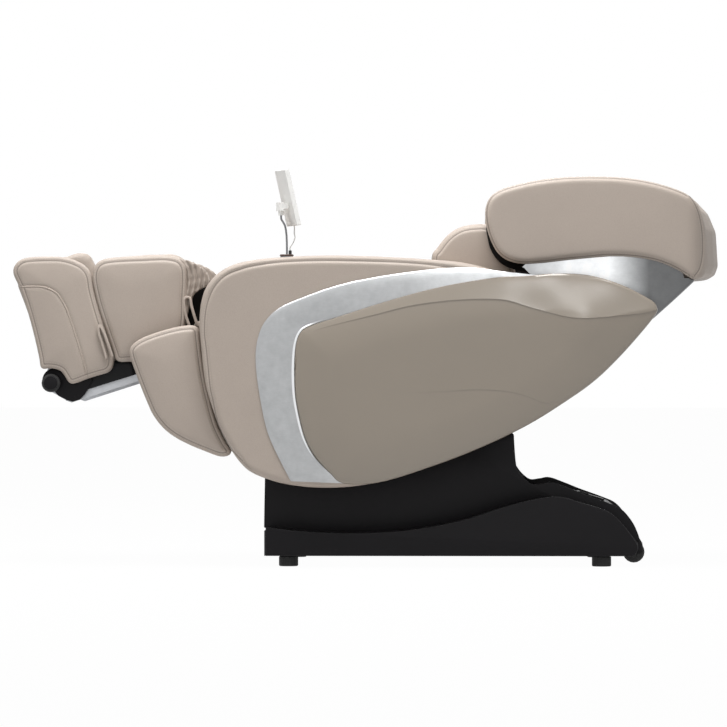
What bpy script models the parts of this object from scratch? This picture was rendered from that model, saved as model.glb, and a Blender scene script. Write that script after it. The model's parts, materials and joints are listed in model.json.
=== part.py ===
"""Zero-gravity massage chair, shown reclined with its legrest raised.

Metres. X runs from the feet (-X) to the head (+X), Y to the sitter's right, Z up from the floor.
Each moving body hangs on an empty that stands on its joint's axis.
"""

import math

import bpy
import bmesh
from mathutils import Matrix, Vector

OBJECT_NAME = "massage_chair"

# Clearances
GAP = 0.0003
RUNNING_GAP = 0.0006

# Widths, measured outwards from the middle plane
SEAT_HALF_WIDTH = 0.250
RAIL_INSET = 0.060
RAIL_INNER = SEAT_HALF_WIDTH - RAIL_INSET
RAIL_WIDTH = 0.026
LEG_OVERHANG = 0.012
LEG_HALF_WIDTH = SEAT_HALF_WIDTH + LEG_OVERHANG
LEG_WALL = 0.040
ARM_CLEARANCE = 0.010
ARM_BODY = 0.078
ARM_COVER = 0.035
TRIM_THICKNESS = 0.007
SIDE_SHELL_THICKNESS = 0.0147
KNEE_CLEARANCE = 0.023
KNEE_PANEL = 0.045
BACK_SIDE_CLEARANCE = 0.005
BACK_SIDE_INNER = RAIL_INNER - BACK_SIDE_CLEARANCE
BACK_SIDE_THICKNESS = 0.0145
BACK_CUSHION_HALF_WIDTH = BACK_SIDE_INNER + BACK_SIDE_THICKNESS + 0.0002
SHOULDER_PAD = 0.068
HOOD_OVERHANG = 0.100
HOOD_HALF_WIDTH = SEAT_HALF_WIDTH + HOOD_OVERHANG
HOOD_WALL = 0.070
BACK_SHELL_INSET = 0.015
BACK_SHELL_HALF_WIDTH = HOOD_HALF_WIDTH - BACK_SHELL_INSET
HEAD_PILLOW_HALF_WIDTH = 0.150
DECK_CLEARANCE = 0.010
SKIRT_LEDGE = 0.068
MOULDING_WALL = 0.004
ARM_INNER = LEG_HALF_WIDTH + ARM_CLEARANCE
ARM_BODY_OUTER = ARM_INNER + ARM_BODY
ARM_COVER_INNER = ARM_BODY_OUTER + GAP
ARM_COVER_OUTER = ARM_COVER_INNER + ARM_COVER
TRIM_INNER = ARM_COVER_OUTER + GAP
KNEE_INNER = LEG_HALF_WIDTH + KNEE_CLEARANCE
DECK_HALF_WIDTH = ARM_INNER - DECK_CLEARANCE
SKIRT_HALF_WIDTH = DECK_HALF_WIDTH + SKIRT_LEDGE

# Side plates, rails and lugs
LUG_WIDTH = 0.015
PLATE_CLEARANCE = 0.009
PLATE_INNER = RAIL_INNER + LUG_WIDTH + PLATE_CLEARANCE
PLATE_THICKNESS = 0.012
PLATE_OUTER = PLATE_INNER + PLATE_THICKNESS
LEG_BAR = 0.015
PAN_THICKNESS = 0.004

# Heights
FOOT_HEIGHT = 0.025
FOOT_RADIUS = 0.024
SKIRT_BOTTOM = 0.027
FRAME_TUBE_BOTTOM = 0.036
FRAME_TUBE_TOP = 0.076
SLIDE_RAIL_TOP = 0.205
SLIDE_RAIL_HEIGHT = 0.025
CARRIAGE_PLATE = 0.022
SCREW_HEIGHT = 0.140

# Radii
TILT_PIN = 0.014
LEG_PIN = 0.010
BACK_PIN = 0.012
SMALL_PIN = 0.005
CROSS_TUBE = 0.014
SCREW_RADIUS = 0.008
TRANSPORT_WHEEL = 0.027
TRANSPORT_WHEEL_WIDTH = 0.030
FOOT_WHEEL = 0.023
FOOT_WHEEL_WIDTH = 0.028
WHEEL_AXLE = 0.005
ACTUATOR_TUBE = 0.022
ACTUATOR_ROD = 0.008
KNEAD_SHAFT = 0.008
KNEAD_ROLLER = 0.032
SOLE_SHAFT = 0.006
SOLE_ROLLER = 0.016
NECK_RADIUS = 0.0025
CABLE_RADIUS = 0.0014

# Lengths
BASE_FRONT = -0.255
FOOT_FRONT_X = -0.196
FOOT_REAR_X = 0.584
FOOT_Y = RAIL_INNER + 0.090
CARRIAGE_FRONT = -0.200
CARRIAGE_REAR = 0.140
BACK_LENGTH = 0.740
BACK_FRAME_DEPTH = 0.0847
BACK_CUSHION = 0.065
MASSAGE_CARRIAGE_START = 0.130
MASSAGE_CARRIAGE_LENGTH = 0.100

# Joint axes, as (x, z) of the hinge line in the side view
TILT_PIVOT = (-0.160, 0.320)
BACK_PIVOT = (0.060, 0.400)
LEG_PIVOT = (-0.430, 0.505)
FOOT_WHEEL_CENTRE = (-0.793, 0.456)
SOLE_ROLLER_CENTRE = (-0.735, 0.522)
TRANSPORT_WHEEL_CENTRE = (0.665, 0.035)
TRANSPORT_WHEEL_Y = RAIL_INNER + 0.050
FOOT_WHEEL_Y = RAIL_INNER + 0.053
FOOT_RAIL_START = (-0.562, 0.475)
BACK_ANGLE = math.radians(24.0)

# Actuator ends in the side view, and how far each one stands off the middle plane
BACK_ACTUATOR = ((-0.270, 0.335), (0.070, 0.305), -0.060)
LEG_ACTUATOR = ((-0.060, 0.372), (-0.4742, 0.4645), 0.060)
TILT_ACTUATOR = ((0.120, 0.245), (-0.030, 0.350), 0.140)
ACTUATOR_LUG = 0.010
ACTUATOR_EAR = 0.005
ACTUATOR_EYE_WIDTH = 0.017
ACTUATOR_EYE_WALL = 0.009
ACTUATOR_NECK = 0.027

# Power panel on the rear deck, by its place along the slope
PANEL_START = 0.025
PANEL_LENGTH = 0.070
PANEL_Y = (-RAIL_INNER, -RAIL_INNER + 0.100)
PANEL_THICKNESS = 0.008
SWITCH_ALONG = 0.042
SWITCH_LIFT = 0.005
SWITCH_LENGTH = 0.022
SWITCH_Y = (PANEL_Y[0] + 0.013, PANEL_Y[0] + 0.031)
INLET_ALONG = (0.045, 0.071)
INLET_Y = (PANEL_Y[1] - 0.036, PANEL_Y[1] - 0.014)
PANEL_FLOOR = 0.0035

# Remote
REMOTE_X = -0.2125
REMOTE_INSET = 0.058
REMOTE_Y = -ARM_INNER - REMOTE_INSET
FLANGE_X = REMOTE_X + 0.014
REMOTE_TURN = math.radians(20.0)
REMOTE_TILT = math.radians(13.0)
TABLET_SIZE = (0.012, 0.085, 0.143)
FLANGE_RADIUS = 0.016
FLANGE_THICKNESS = 0.004
ARM_SEAT_RECESS = 0.0006
NECK_HEIGHT = 0.105
TABLET_HINGE_RISE = 0.022
TABLET_HINGE_REACH = 0.008
TABLET_BACK_REACH = 0.0165
TABLET_BELOW_HINGE = 0.050
CABLE_PLUG = (0.004, 0.013)

# Colours of the pieces
LEATHER = ("leather", (0.50, 0.43, 0.37), 0.55, 0.0)
SIDE_PLASTIC = ("side_plastic", (0.33, 0.29, 0.24), 0.35, 0.1)
SILVER = ("silver", (0.62, 0.64, 0.66), 0.28, 0.8)
BLACK_PLASTIC = ("black_plastic", (0.02, 0.018, 0.02), 0.40, 0.0)
BLACK_STEEL = ("black_steel", (0.03, 0.03, 0.035), 0.45, 0.6)
ZINC = ("zinc_steel", (0.55, 0.56, 0.58), 0.35, 0.9)
RUBBER = ("rubber", (0.02, 0.02, 0.02), 0.80, 0.0)
CREAM_PLASTIC = ("cream_plastic", (0.80, 0.78, 0.72), 0.35, 0.0)
CABLE_GREY = ("cable_grey", (0.66, 0.66, 0.64), 0.50, 0.0)

# Side-view outlines, in millimetres (x, z), listed clockwise or anticlockwise around each piece
ARM_OUTLINE = [
    (-414, 600), (-410, 654), (-396, 696), (-366, 730), (-324, 752), (-263, 764), (-165, 771),
    (-66, 773), (57, 769), (155, 763), (234, 756), (303, 740), (350, 722), (392, 680), (415, 600),
    (416, 500), (408, 420), (385, 352), (278, 295), (155, 248), (32, 211), (-79, 197), (-189, 204),
    (-275, 230), (-317, 265), (-356, 329), (-386, 408), (-401, 469), (-410, 550)]
ARM_BODY_OUTLINE = [
    (-414, 600), (-410, 654), (-396, 696), (-366, 730), (-324, 752), (-263, 764), (-165, 771),
    (-66, 773), (57, 769), (155, 763), (234, 756), (303, 740), (345, 715), (372, 660), (380, 580),
    (378, 480), (360, 390), (318, 322), (240, 281), (155, 248), (32, 211), (-79, 197), (-189, 204),
    (-275, 230), (-317, 265), (-356, 329), (-386, 408), (-401, 469), (-410, 550)]
TRIM_OUTER_EDGE = [
    (386, 723), (326, 734), (277, 741), (203, 741), (130, 734), (56, 724), (-17, 711), (-90, 692),
    (-164, 665), (-213, 643), (-245, 615), (-264, 580), (-273, 530), (-269, 465), (-252, 367),
    (-232, 306), (-186, 214)]
TRIM_INNER_EDGE = [
    (-57, 209), (-90, 235), (-127, 276), (-152, 325), (-166, 379), (-174, 428), (-176, 489),
    (-173, 545), (-163, 578), (-140, 596), (-66, 621), (-17, 637), (56, 660), (130, 681),
    (203, 698), (277, 711), (338, 719)]
SIDE_SHELL_TAIL = [
    (392, 721), (462, 727), (524, 726), (573, 718), (634, 698), (684, 673), (712, 655), (720, 638),
    (711, 620), (670, 570), (622, 517), (570, 467), (511, 423), (401, 354), (278, 295), (155, 248),
    (32, 211)]
KNEE_OUTLINE = [
    (-588, 530), (-581, 550), (-558, 566), (-524, 579), (-487, 590), (-455, 596), (-433, 597),
    (-421, 588), (-416, 551), (-406, 477), (-391, 410), (-375, 353), (-355, 311), (-340, 284),
    (-362, 276), (-400, 289), (-437, 304), (-474, 323), (-504, 346), (-529, 378),
    (-544, 410), (-558, 444), (-573, 484)]
CALF_WALL_OUTLINE = [
    (-687, 712), (-685, 738), (-674, 756), (-654, 765), (-617, 769), (-567, 771), (-517, 773),
    (-487, 771), (-467, 763), (-455, 744), (-453, 714), (-455, 664), (-458, 601), (-478, 541),
    (-517, 517), (-592, 513), (-624, 513), (-633, 530), (-645, 564), (-662, 614), (-677, 664)]
CALF_FLOOR_OUTLINE = [(-638, 513), (-464, 513), (-461, 596), (-560, 585), (-660, 600)]
CALF_DIVIDER_OUTLINE = [
    (-662, 620), (-672, 720), (-664, 766), (-640, 783), (-560, 789), (-500, 787), (-472, 775),
    (-462, 740), (-464, 560), (-640, 560)]
GUSSET_OUTLINE = [
    (-454.3, 740), (-450, 762), (-430, 764), (-412, 755), (-401, 738), (-402, 712), (-420, 690),
    (-443, 682), (-453.2, 700), (-452.7, 714)]
FOOT_WALL_OUTLINE = [
    (-884, 730), (-881, 749), (-868, 762), (-847, 768), (-804, 770), (-767, 769), (-737, 762),
    (-709, 747), (-694, 724), (-688, 689), (-676, 644), (-659, 589), (-643, 541), (-638, 512),
    (-647, 488), (-679, 477), (-704, 469), (-740, 457), (-753, 471), (-764, 487), (-780, 494),
    (-802, 496), (-815, 494), (-819, 519), (-832, 576), (-849, 639), (-866, 690)]
FOOT_PAD_OUTLINE = [
    (-877, 706), (-872, 742), (-850, 753), (-832, 742), (-826, 715), (-808, 640), (-786, 580),
    (-750, 565), (-668, 562), (-655, 545), (-652, 505), (-664, 496), (-800, 496), (-815, 506),
    (-822, 535), (-840, 600), (-860, 660)]
FOOT_DIVIDER_OUTLINE = [
    (-862, 700), (-856, 757), (-825, 779), (-760, 785), (-716, 779), (-700, 745), (-688, 680),
    (-672, 600), (-664, 530), (-820, 530)]
LEG_BAR_OUTLINE = [
    (-596, 505), (-590, 476), (-646, 458), (-722, 434), (-745, 413), (-760, 417), (-769, 439),
    (-754, 450), (-651, 484), (-640, 505)]
FOOT_RAIL_OUTLINE = [(-562, 484), (-562, 466), (-745, 407), (-760, 412), (-752, 425)]
FOOT_WEB_OUTLINE = [
    (-735, 428), (-770, 420), (-800, 436), (-812, 456), (-806, 490), (-690, 490), (-700, 462)]
SKIRT_OUTLINE = [
    (-255, 27), (-255, 99), (-166, 89), (-42, 84), (82, 89), (182, 104), (256, 121), (331, 146),
    (405, 166), (462, 175), (529, 161), (579, 146), (609, 132), (641, 99), (679, 54), (664, 27)]
COVER_OUTLINE = [
    (-252, 99.4), (-250.5, 160), (-248, 260), (-240, 268), (120, 268), (250, 276), (330, 296),
    (370, 320), (380, 320), (383, 300), (386, 265), (391, 231), (404, 208), (422, 193), (440, 189),
    (470, 194), (500, 184.5), (615, 149), (645, 134), (670, 113), (690, 84), (706, 58), (710, 36),
    (700, 32), (652, 32), (640, 64), (-239, 64), (-239.4, 99.4)]
DECK_SLOPE = ((0.500, 0.1845), (0.615, 0.149))
SEAT_PLATE_OUTLINE = [
    (-452, 505), (-446, 522), (-430, 527), (-395, 519), (-250, 455), (-60, 412), (22, 384),
    (34, 390), (40, 414), (60, 424), (82, 412), (84, 388), (24, 292), (-130, 288), (-184, 290),
    (-290, 314), (-400, 398), (-426, 412), (-448, 488)]
SEAT_TOP_REAR = (16, 437)
SEAT_TOP_FRONT = (-404, 612)
SEAT_CHANNELS = 5
SEAT_CHANNEL_RISE = 6
SEAT_FRONT_ROLL = [(-430, 617), (-444, 602), (-446, 580), (-436, 566)]
SEAT_BOTTOM_FRONT = (-425, 561.3)
SEAT_BOTTOM_REAR = (10, 390.3)
PAN_RISE = (SEAT_BOTTOM_FRONT[1] - SEAT_BOTTOM_REAR[1]) / (SEAT_BOTTOM_REAR[0] - SEAT_BOTTOM_FRONT[0])
HOOD_WING_OUTLINE = [
    (294, 880), (298, 902), (309, 921), (332, 936), (366, 947), (415, 958), (477, 966), (551, 969),
    (625, 967), (687, 959), (737, 947), (772, 935), (789, 912), (788, 751), (745, 763), (712, 768), (663, 771), (601, 771), (551, 767), (490, 761), (440, 755), (394, 752),
    (362, 757), (337, 769), (319, 789), (304, 822), (296, 853)]
HOOD_BACK_SECTION = [
    (0, 790), (0, 750), (8, 728), (26, 717), (48, 722), (60, 745), (60, 880), (52, 912),
    (34, 924), (14, 914), (3, 880), (0, 835)]
HOOD_BACK_START = 0.790
HOOD_BACK_DEPTH = 0.094
HOOD_BACK_ROUNDNESS = 2.5
HOOD_BACK_WALL = 0.060
HOOD_BACK_STATIONS = 12
SHELL_TOP_EDGE = [(386, 744), (394, 751.4), (440, 754.4), (490, 760.4), (551, 766.4), (601, 770.4),
                  (663, 770.4), (712, 767.4), (745, 762.4), (768, 755.4), (784, 749.4), (787, 716.6),
                  (810, 716.6), (816, 712)]
SHELL_UNDERSIDE = [(760, 660), (713, 618), (640, 570), (565, 520)]
SHELL_FRONT_RADIUS = 0.476
SHELL_FRONT_ANGLES = (15.0, 46.0)
SHOULDER_OUTLINE = [
    (163, 767), (176, 791), (194, 815), (214, 833), (239, 845), (271, 850), (300, 849), (335, 833),
    (358, 795), (366, 740), (368, 680), (352, 630), (310, 600), (255, 590), (205, 612), (174, 675)]


def metres(points):
    """An outline in millimetres as metres."""
    return [(x / 1000.0, z / 1000.0) for x, z in points]


def smooth(points, steps=1, closed=True):
    """Points on a Catmull-Rom curve through the given ones, with extra points between each two."""
    count = len(points)
    spans = count if closed else count - 1
    result = []
    for i in range(spans):
        if closed:
            before, start, end, after = (points[(i + k) % count] for k in (-1, 0, 1, 2))
        else:
            before, start, end, after = (points[min(max(i + k, 0), count - 1)] for k in (-1, 0, 1, 2))
        for step in range(steps):
            t = step / steps
            result.append(tuple(
                0.5 * (2 * b + (c - a) * t + (2 * a - 5 * b + 4 * c - d) * t * t
                       + (3 * b - a - 3 * c + d) * t ** 3)
                for a, b, c, d in zip(before, start, end, after)))
    if not closed:
        result.append(tuple(points[-1]))
    return result


def back_point(along, out):
    """A point in the side view, from its place along the reclined back and square to it."""
    return (BACK_PIVOT[0] + along * math.cos(BACK_ANGLE) - out * math.sin(BACK_ANGLE),
            BACK_PIVOT[1] + along * math.sin(BACK_ANGLE) + out * math.cos(BACK_ANGLE))


def back_outline(points):
    return [back_point(along, out) for along, out in points]


def arm_top(x):
    """The height of the arm's top edge at a place along the chair."""
    edge = [(px, pz) for px, pz in metres(ARM_BODY_OUTLINE) if pz > 0.700]
    edge.sort()
    for (x0, z0), (x1, z1) in zip(edge, edge[1:]):
        if x0 <= x <= x1:
            return z0 + (z1 - z0) * (x - x0) / (x1 - x0)
    raise ValueError("no arm under this place")


# Heights that follow the arm
ARM_SEAT_HEIGHT = arm_top(FLANGE_X) - ARM_SEAT_RECESS
NECK_TOP = ARM_SEAT_HEIGHT + NECK_HEIGHT
TABLET_HINGE_HEIGHT = NECK_TOP + TABLET_HINGE_RISE


# Scene set-up

def clear_scene():
    for item in list(bpy.data.objects):
        bpy.data.objects.remove(item, do_unlink=True)


def new_collection(name):
    collection = bpy.data.collections.new(name)
    bpy.context.scene.collection.children.link(collection)
    return collection


def material(finish):
    name, colour, roughness, metallic = finish
    found = bpy.data.materials.get(name)
    if found:
        return found
    made = bpy.data.materials.new(name)
    made.use_nodes = True
    shader = made.node_tree.nodes["Principled BSDF"]
    shader.inputs["Base Color"].default_value = (*colour, 1.0)
    shader.inputs["Roughness"].default_value = roughness
    shader.inputs["Metallic"].default_value = metallic
    return made


clear_scene()
PARTS = new_collection(OBJECT_NAME)
GUIDES = new_collection("guides")


def add_body(name, pivot=(0.0, 0.0, 0.0), parent=None):
    """An empty on a joint's axis, which carries the pieces of one moving body."""
    empty = bpy.data.objects.new(name, None)
    empty.empty_display_size = 0.03
    PARTS.objects.link(empty)
    empty["pivot"] = pivot
    if parent:
        empty.parent = parent
        empty.location = Vector(pivot) - Vector(parent["pivot"])
    else:
        empty.location = pivot
    return empty


# Shapes, each added to a bmesh in world coordinates

def shape():
    return bmesh.new()


def add_box(bm, low, high):
    low, high = Vector(low), Vector(high)
    size = high - low
    matrix = Matrix.Translation((low + high) / 2) @ Matrix.Diagonal((*size, 1.0))
    bmesh.ops.create_cube(bm, size=1.0, matrix=matrix)
    return bm


def add_rod(bm, start, end, radius, sides=16):
    start, end = Vector(start), Vector(end)
    along = end - start
    turn = along.to_track_quat("Z", "Y").to_matrix().to_4x4()
    bmesh.ops.create_cone(bm, cap_ends=True, cap_tris=False, segments=sides, radius1=radius,
                          radius2=radius, depth=along.length,
                          matrix=Matrix.Translation((start + end) / 2) @ turn)
    return bm


def add_cross_rod(bm, centre, inner, outer, radius, sides=16):
    """A rod along Y at a place in the side view."""
    x, z = centre
    return add_rod(bm, (x, inner, z), (x, outer, z), radius, sides)


def add_slab(bm, outline, inner, outer, crown=0.0, rim=0.0):
    """A side-view outline drawn out along Y. Its outward face may swell by a crown inside a rim."""
    low, high = min(inner, outer), max(inner, outer)
    corners = [bm.verts.new((x, low, z)) for x, z in outline]
    first = bm.faces.new(corners)
    drawn = bmesh.ops.extrude_face_region(bm, geom=[first], use_keep_orig=True)
    moved = [item for item in drawn["geom"] if isinstance(item, bmesh.types.BMVert)]
    second = [item for item in drawn["geom"] if isinstance(item, bmesh.types.BMFace)][0]
    bmesh.ops.translate(bm, vec=(0.0, high - low, 0.0), verts=moved)
    bmesh.ops.recalc_face_normals(bm, faces=bm.faces[:])
    if crown:
        cap = second if outer > inner else first
        bmesh.ops.inset_region(bm, faces=[cap], thickness=rim, depth=crown, use_even_offset=True)
    return bm


def side_box(bm, x_range, y_range, z_range):
    """Two boxes, one on each side of the middle plane."""
    for side in (-1, 1):
        y0, y1 = sorted((side * y_range[0], side * y_range[1]))
        add_box(bm, (x_range[0], y0, z_range[0]), (x_range[1], y1, z_range[1]))
    return bm


def side_slab(bm, outline, inner, outer):
    for side in (-1, 1):
        add_slab(bm, outline, side * inner, side * outer)
    return bm


def side_rod(bm, centre, inner, outer, radius, sides=16):
    for side in (-1, 1):
        add_cross_rod(bm, centre, side * inner, side * outer, radius, sides)
    return bm


def object_from(name, bm, collection):
    mesh = bpy.data.meshes.new(name)
    bmesh.ops.recalc_face_normals(bm, faces=bm.faces[:])
    bm.to_mesh(mesh)
    bm.free()
    made = bpy.data.objects.new(name, mesh)
    collection.objects.link(made)
    return made


def add_bevel(item, width, segments, angle=40.0):
    bevel = item.modifiers.new("Bevel", "BEVEL")
    bevel.width = width
    bevel.segments = segments
    bevel.limit_method = "ANGLE"
    bevel.angle_limit = math.radians(angle)
    return bevel


def add_boolean(item, operation, bm, index):
    guide = object_from(f"{item.name}_{operation.lower()}_{index}", bm, GUIDES)
    guide.hide_render = True
    guide.display_type = "WIRE"
    boolean = item.modifiers.new(f"{operation.title()}{index}", "BOOLEAN")
    boolean.operation = operation
    boolean.solver = "EXACT"
    boolean.object = guide


def piece(name, body, finish, bm, joined=(), cut=(), bevel=0.0, segments=2, shell=0.0):
    """One named solid on its body: rounded, hollowed, joined with other shapes, then cut."""
    made = object_from(name, bm, PARTS)
    made.data.materials.append(material(finish))
    if bevel:
        add_bevel(made, bevel, segments)
    if shell:
        wall = made.modifiers.new("Wall", "SOLIDIFY")
        wall.thickness = shell
        wall.offset = -1.0
        wall.use_even_offset = True
    for index, extra in enumerate(joined):
        add_boolean(made, "UNION", extra, index)
    for index, extra in enumerate(cut):
        add_boolean(made, "DIFFERENCE", extra, index)
    pivot = Vector(body["pivot"])
    made.data.transform(Matrix.Translation(-pivot))
    made.parent = body
    made.data.shade_smooth()
    made.data.set_sharp_from_angle(angle=math.radians(35.0))
    return made


def turned(name, body, finish, profile, centre, steps=20):
    """A round piece about an axle along Y: (radius, y) points down its outer side and up its bore."""
    bm = shape()
    corners = [bm.verts.new((radius, 0.0, -along)) for radius, along in profile]
    for start, end in zip(corners, corners[1:] + corners[:1]):
        bm.edges.new((start, end))
    mesh = bpy.data.meshes.new(name)
    bm.to_mesh(mesh)
    bm.free()
    made = bpy.data.objects.new(name, mesh)
    PARTS.objects.link(made)
    made.data.materials.append(material(finish))
    screw = made.modifiers.new("Screw", "SCREW")
    screw.axis = "Z"
    screw.steps = steps
    screw.render_steps = steps
    screw.use_merge_vertices = True
    screw.merge_threshold = 0.00001
    screw.use_normal_calculate = True
    made.parent = body
    made.location = Vector(centre) - Vector(body["pivot"])
    made.rotation_euler = (math.radians(-90.0), 0.0, 0.0)
    return made


# Bodies

def on_axis(place, y=0.0):
    """A place in the side view as a point, off the middle plane by y."""
    return (place[0], y, place[1])


def make_bodies():
    """The tree of moving bodies, each on its joint's axis."""
    bodies = {"base": add_body("base_body")}
    tree = [
        ("switch", "base", switch_pivot()),
        ("wheel_l", "base", on_axis(TRANSPORT_WHEEL_CENTRE, -TRANSPORT_WHEEL_Y)),
        ("wheel_r", "base", on_axis(TRANSPORT_WHEEL_CENTRE, TRANSPORT_WHEEL_Y)),
        ("carriage", "base", (CARRIAGE_FRONT, 0.0, SLIDE_RAIL_TOP)),
        ("tilt_tube", "carriage", on_axis(TILT_ACTUATOR[0], TILT_ACTUATOR[2])),
        ("tilt_rod", "tilt_tube", on_axis(TILT_ACTUATOR[1], TILT_ACTUATOR[2])),
        ("seat", "carriage", on_axis(TILT_PIVOT)),
        ("neck", "seat", (FLANGE_X, REMOTE_Y, ARM_SEAT_HEIGHT)),
        ("tablet", "neck", tablet_hinge()),
        ("leg_tube", "seat", on_axis(LEG_ACTUATOR[0], LEG_ACTUATOR[2])),
        ("leg_rod", "leg_tube", on_axis(LEG_ACTUATOR[1], LEG_ACTUATOR[2])),
        ("leg", "seat", on_axis(LEG_PIVOT)),
        ("foot", "leg", on_axis(FOOT_RAIL_START)),
        ("sole", "foot", on_axis(SOLE_ROLLER_CENTRE)),
        ("foot_wheel_l", "foot", on_axis(FOOT_WHEEL_CENTRE, -FOOT_WHEEL_Y)),
        ("foot_wheel_r", "foot", on_axis(FOOT_WHEEL_CENTRE, FOOT_WHEEL_Y)),
        ("back_tube", "seat", on_axis(BACK_ACTUATOR[0], BACK_ACTUATOR[2])),
        ("back_rod", "back_tube", on_axis(BACK_ACTUATOR[1], BACK_ACTUATOR[2])),
        ("back", "seat", on_axis(BACK_PIVOT)),
        ("massage", "back", on_axis(back_point(MASSAGE_CARRIAGE_START, 0.0))),
        ("knead", "massage", on_axis(knead_centre())),
    ]
    for name, parent, pivot in tree:
        bodies[name] = add_body(name + "_body", pivot, bodies[parent])
    return bodies


def deck_point(along, lift):
    """A point on the sloping rear deck, from the start of its straight stretch."""
    (x0, z0), (x1, z1) = DECK_SLOPE
    run = Vector((x1 - x0, z1 - z0)).normalized()
    return (x0 + run.x * along - run.y * lift, z0 + run.y * along + run.x * lift)


def switch_pivot():
    x, z = deck_point(SWITCH_ALONG, SWITCH_LIFT)
    return (x, (SWITCH_Y[0] + SWITCH_Y[1]) / 2, z)


def knead_centre():
    return back_point(MASSAGE_CARRIAGE_START + MASSAGE_CARRIAGE_LENGTH / 2, 0.045)


def remote_point(reach, across, height):
    """A point on the remote: reach towards the sitter, across its width, height above the floor."""
    cosine, sine = math.cos(REMOTE_TURN), math.sin(REMOTE_TURN)
    return (REMOTE_X + reach * cosine - across * sine, REMOTE_Y + reach * sine + across * cosine, height)


def tablet_hinge():
    return remote_point(TABLET_HINGE_REACH, 0.0, TABLET_HINGE_HEIGHT)


# Base

def make_base(body):
    make_base_frame(body)
    make_base_mouldings(body)
    make_power_panel(body)
    feet = {"foot_front": FOOT_FRONT_X, "foot_rear": FOOT_REAR_X}
    for name, x in feet.items():
        for side, suffix in ((-1, "l"), (1, "r")):
            rubber = add_rod(shape(), (x, side * FOOT_Y, 0.0), (x, side * FOOT_Y, FOOT_HEIGHT),
                             FOOT_RADIUS, 20)
            piece(f"{name}_{suffix}", body, RUBBER, rubber, bevel=0.002, segments=1)
    motor = add_box(shape(), (0.405, -0.035, FRAME_TUBE_TOP + GAP), (0.485, 0.035, 0.158))
    screw = add_rod(shape(), (0.410, 0.0, SCREW_HEIGHT), (-0.120, 0.0, SCREW_HEIGHT), SCREW_RADIUS, 12)
    piece("slide_motor", body, BLACK_STEEL, motor, joined=[screw], bevel=0.006)


def make_base_frame(body):
    tubes = side_box(shape(), (-0.225, 0.640), (RAIL_INNER - 0.010, RAIL_INNER + 0.025),
                     (FRAME_TUBE_BOTTOM, FRAME_TUBE_TOP))
    half = 0.020
    reach = FOOT_Y + FOOT_RADIUS + 0.001
    crossings = shape()
    for x in (FOOT_FRONT_X, FOOT_REAR_X):
        add_box(crossings, (x - half, -reach, FOOT_HEIGHT + GAP), (x + half, reach, 0.060))
    reach = RAIL_INNER + 0.010
    add_box(crossings, (0.420, -reach, 0.040), (0.470, reach, FRAME_TUBE_TOP))
    posts = shape()
    for x in (-0.200, 0.080, 0.345):
        side_box(posts, (x - 0.015, x + 0.015), (RAIL_INNER + 0.003, RAIL_INNER + 0.023), (0.070, 0.190))
    rails = side_box(shape(), (-0.225, 0.372), (RAIL_INNER, RAIL_INNER + RAIL_WIDTH),
                     (SLIDE_RAIL_TOP - SLIDE_RAIL_HEIGHT, SLIDE_RAIL_TOP))
    brackets = side_box(shape(), (0.620, 0.680), (RAIL_INNER, RAIL_INNER + 0.020), (0.024, 0.052))
    axle = side_rod(shape(), TRANSPORT_WHEEL_CENTRE, RAIL_INNER + 0.005,
                    TRANSPORT_WHEEL_Y + TRANSPORT_WHEEL_WIDTH / 2 + 0.0025, WHEEL_AXLE, 12)
    piece("base_frame", body, BLACK_STEEL, tubes, joined=[crossings, posts, rails, brackets, axle])


def make_base_mouldings(body):
    skirt = add_slab(shape(), metres(SKIRT_OUTLINE), -SKIRT_HALF_WIDTH, SKIRT_HALF_WIDTH)
    open_bottom(skirt, SKIRT_BOTTOM + 0.002)
    well = add_box(shape(), (BASE_FRONT + 0.010, -DECK_HALF_WIDTH - GAP, 0.0),
                   (0.800, DECK_HALF_WIDTH + GAP, 0.300))
    piece("base_skirt", body, BLACK_PLASTIC, skirt, cut=[well], bevel=0.010, segments=1,
          shell=MOULDING_WALL)

    cover = add_slab(shape(), metres(COVER_OUTLINE), -DECK_HALF_WIDTH, DECK_HALF_WIDTH)
    open_bottom(cover, 0.066)
    reach = PLATE_OUTER + 0.002
    mouth = add_box(shape(), (-0.218, -reach, 0.230), (0.335, reach, 0.340))
    piece("base_cover", body, BLACK_PLASTIC, cover, cut=[mouth], bevel=0.008, segments=1,
          shell=MOULDING_WALL)


def open_bottom(bm, height):
    """Take away the faces that look down and lie below a height, so that walls can be hollowed."""
    bm.faces.ensure_lookup_table()
    below = [face for face in bm.faces
             if face.normal.z < -0.3 and face.calc_center_median().z < height]
    bmesh.ops.delete(bm, geom=below, context="FACES")


def deck_block(along, lift, across):
    """A block on the rear deck, by its stretch along the slope, above it and across the chair."""
    outline = [deck_point(along[0], lift[0]), deck_point(along[1], lift[0]),
               deck_point(along[1], lift[1]), deck_point(along[0], lift[1])]
    return add_slab(shape(), outline, *across)


def make_power_panel(body):
    top = GAP + PANEL_THICKNESS
    panel = deck_block((PANEL_START, PANEL_START + PANEL_LENGTH), (GAP, top), PANEL_Y)
    reach = SWITCH_LENGTH / 2 + 0.0015
    switch_hole = deck_block((SWITCH_ALONG - reach, SWITCH_ALONG + reach), (-0.005, 0.020),
                             (SWITCH_Y[0] - RUNNING_GAP, SWITCH_Y[1] + RUNNING_GAP))
    inlet_hole = deck_block(INLET_ALONG, (PANEL_FLOOR, 0.020), INLET_Y)
    piece("power_panel", body, BLACK_PLASTIC, panel, cut=[switch_hole, inlet_hole], bevel=0.0015,
          segments=1)


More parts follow.
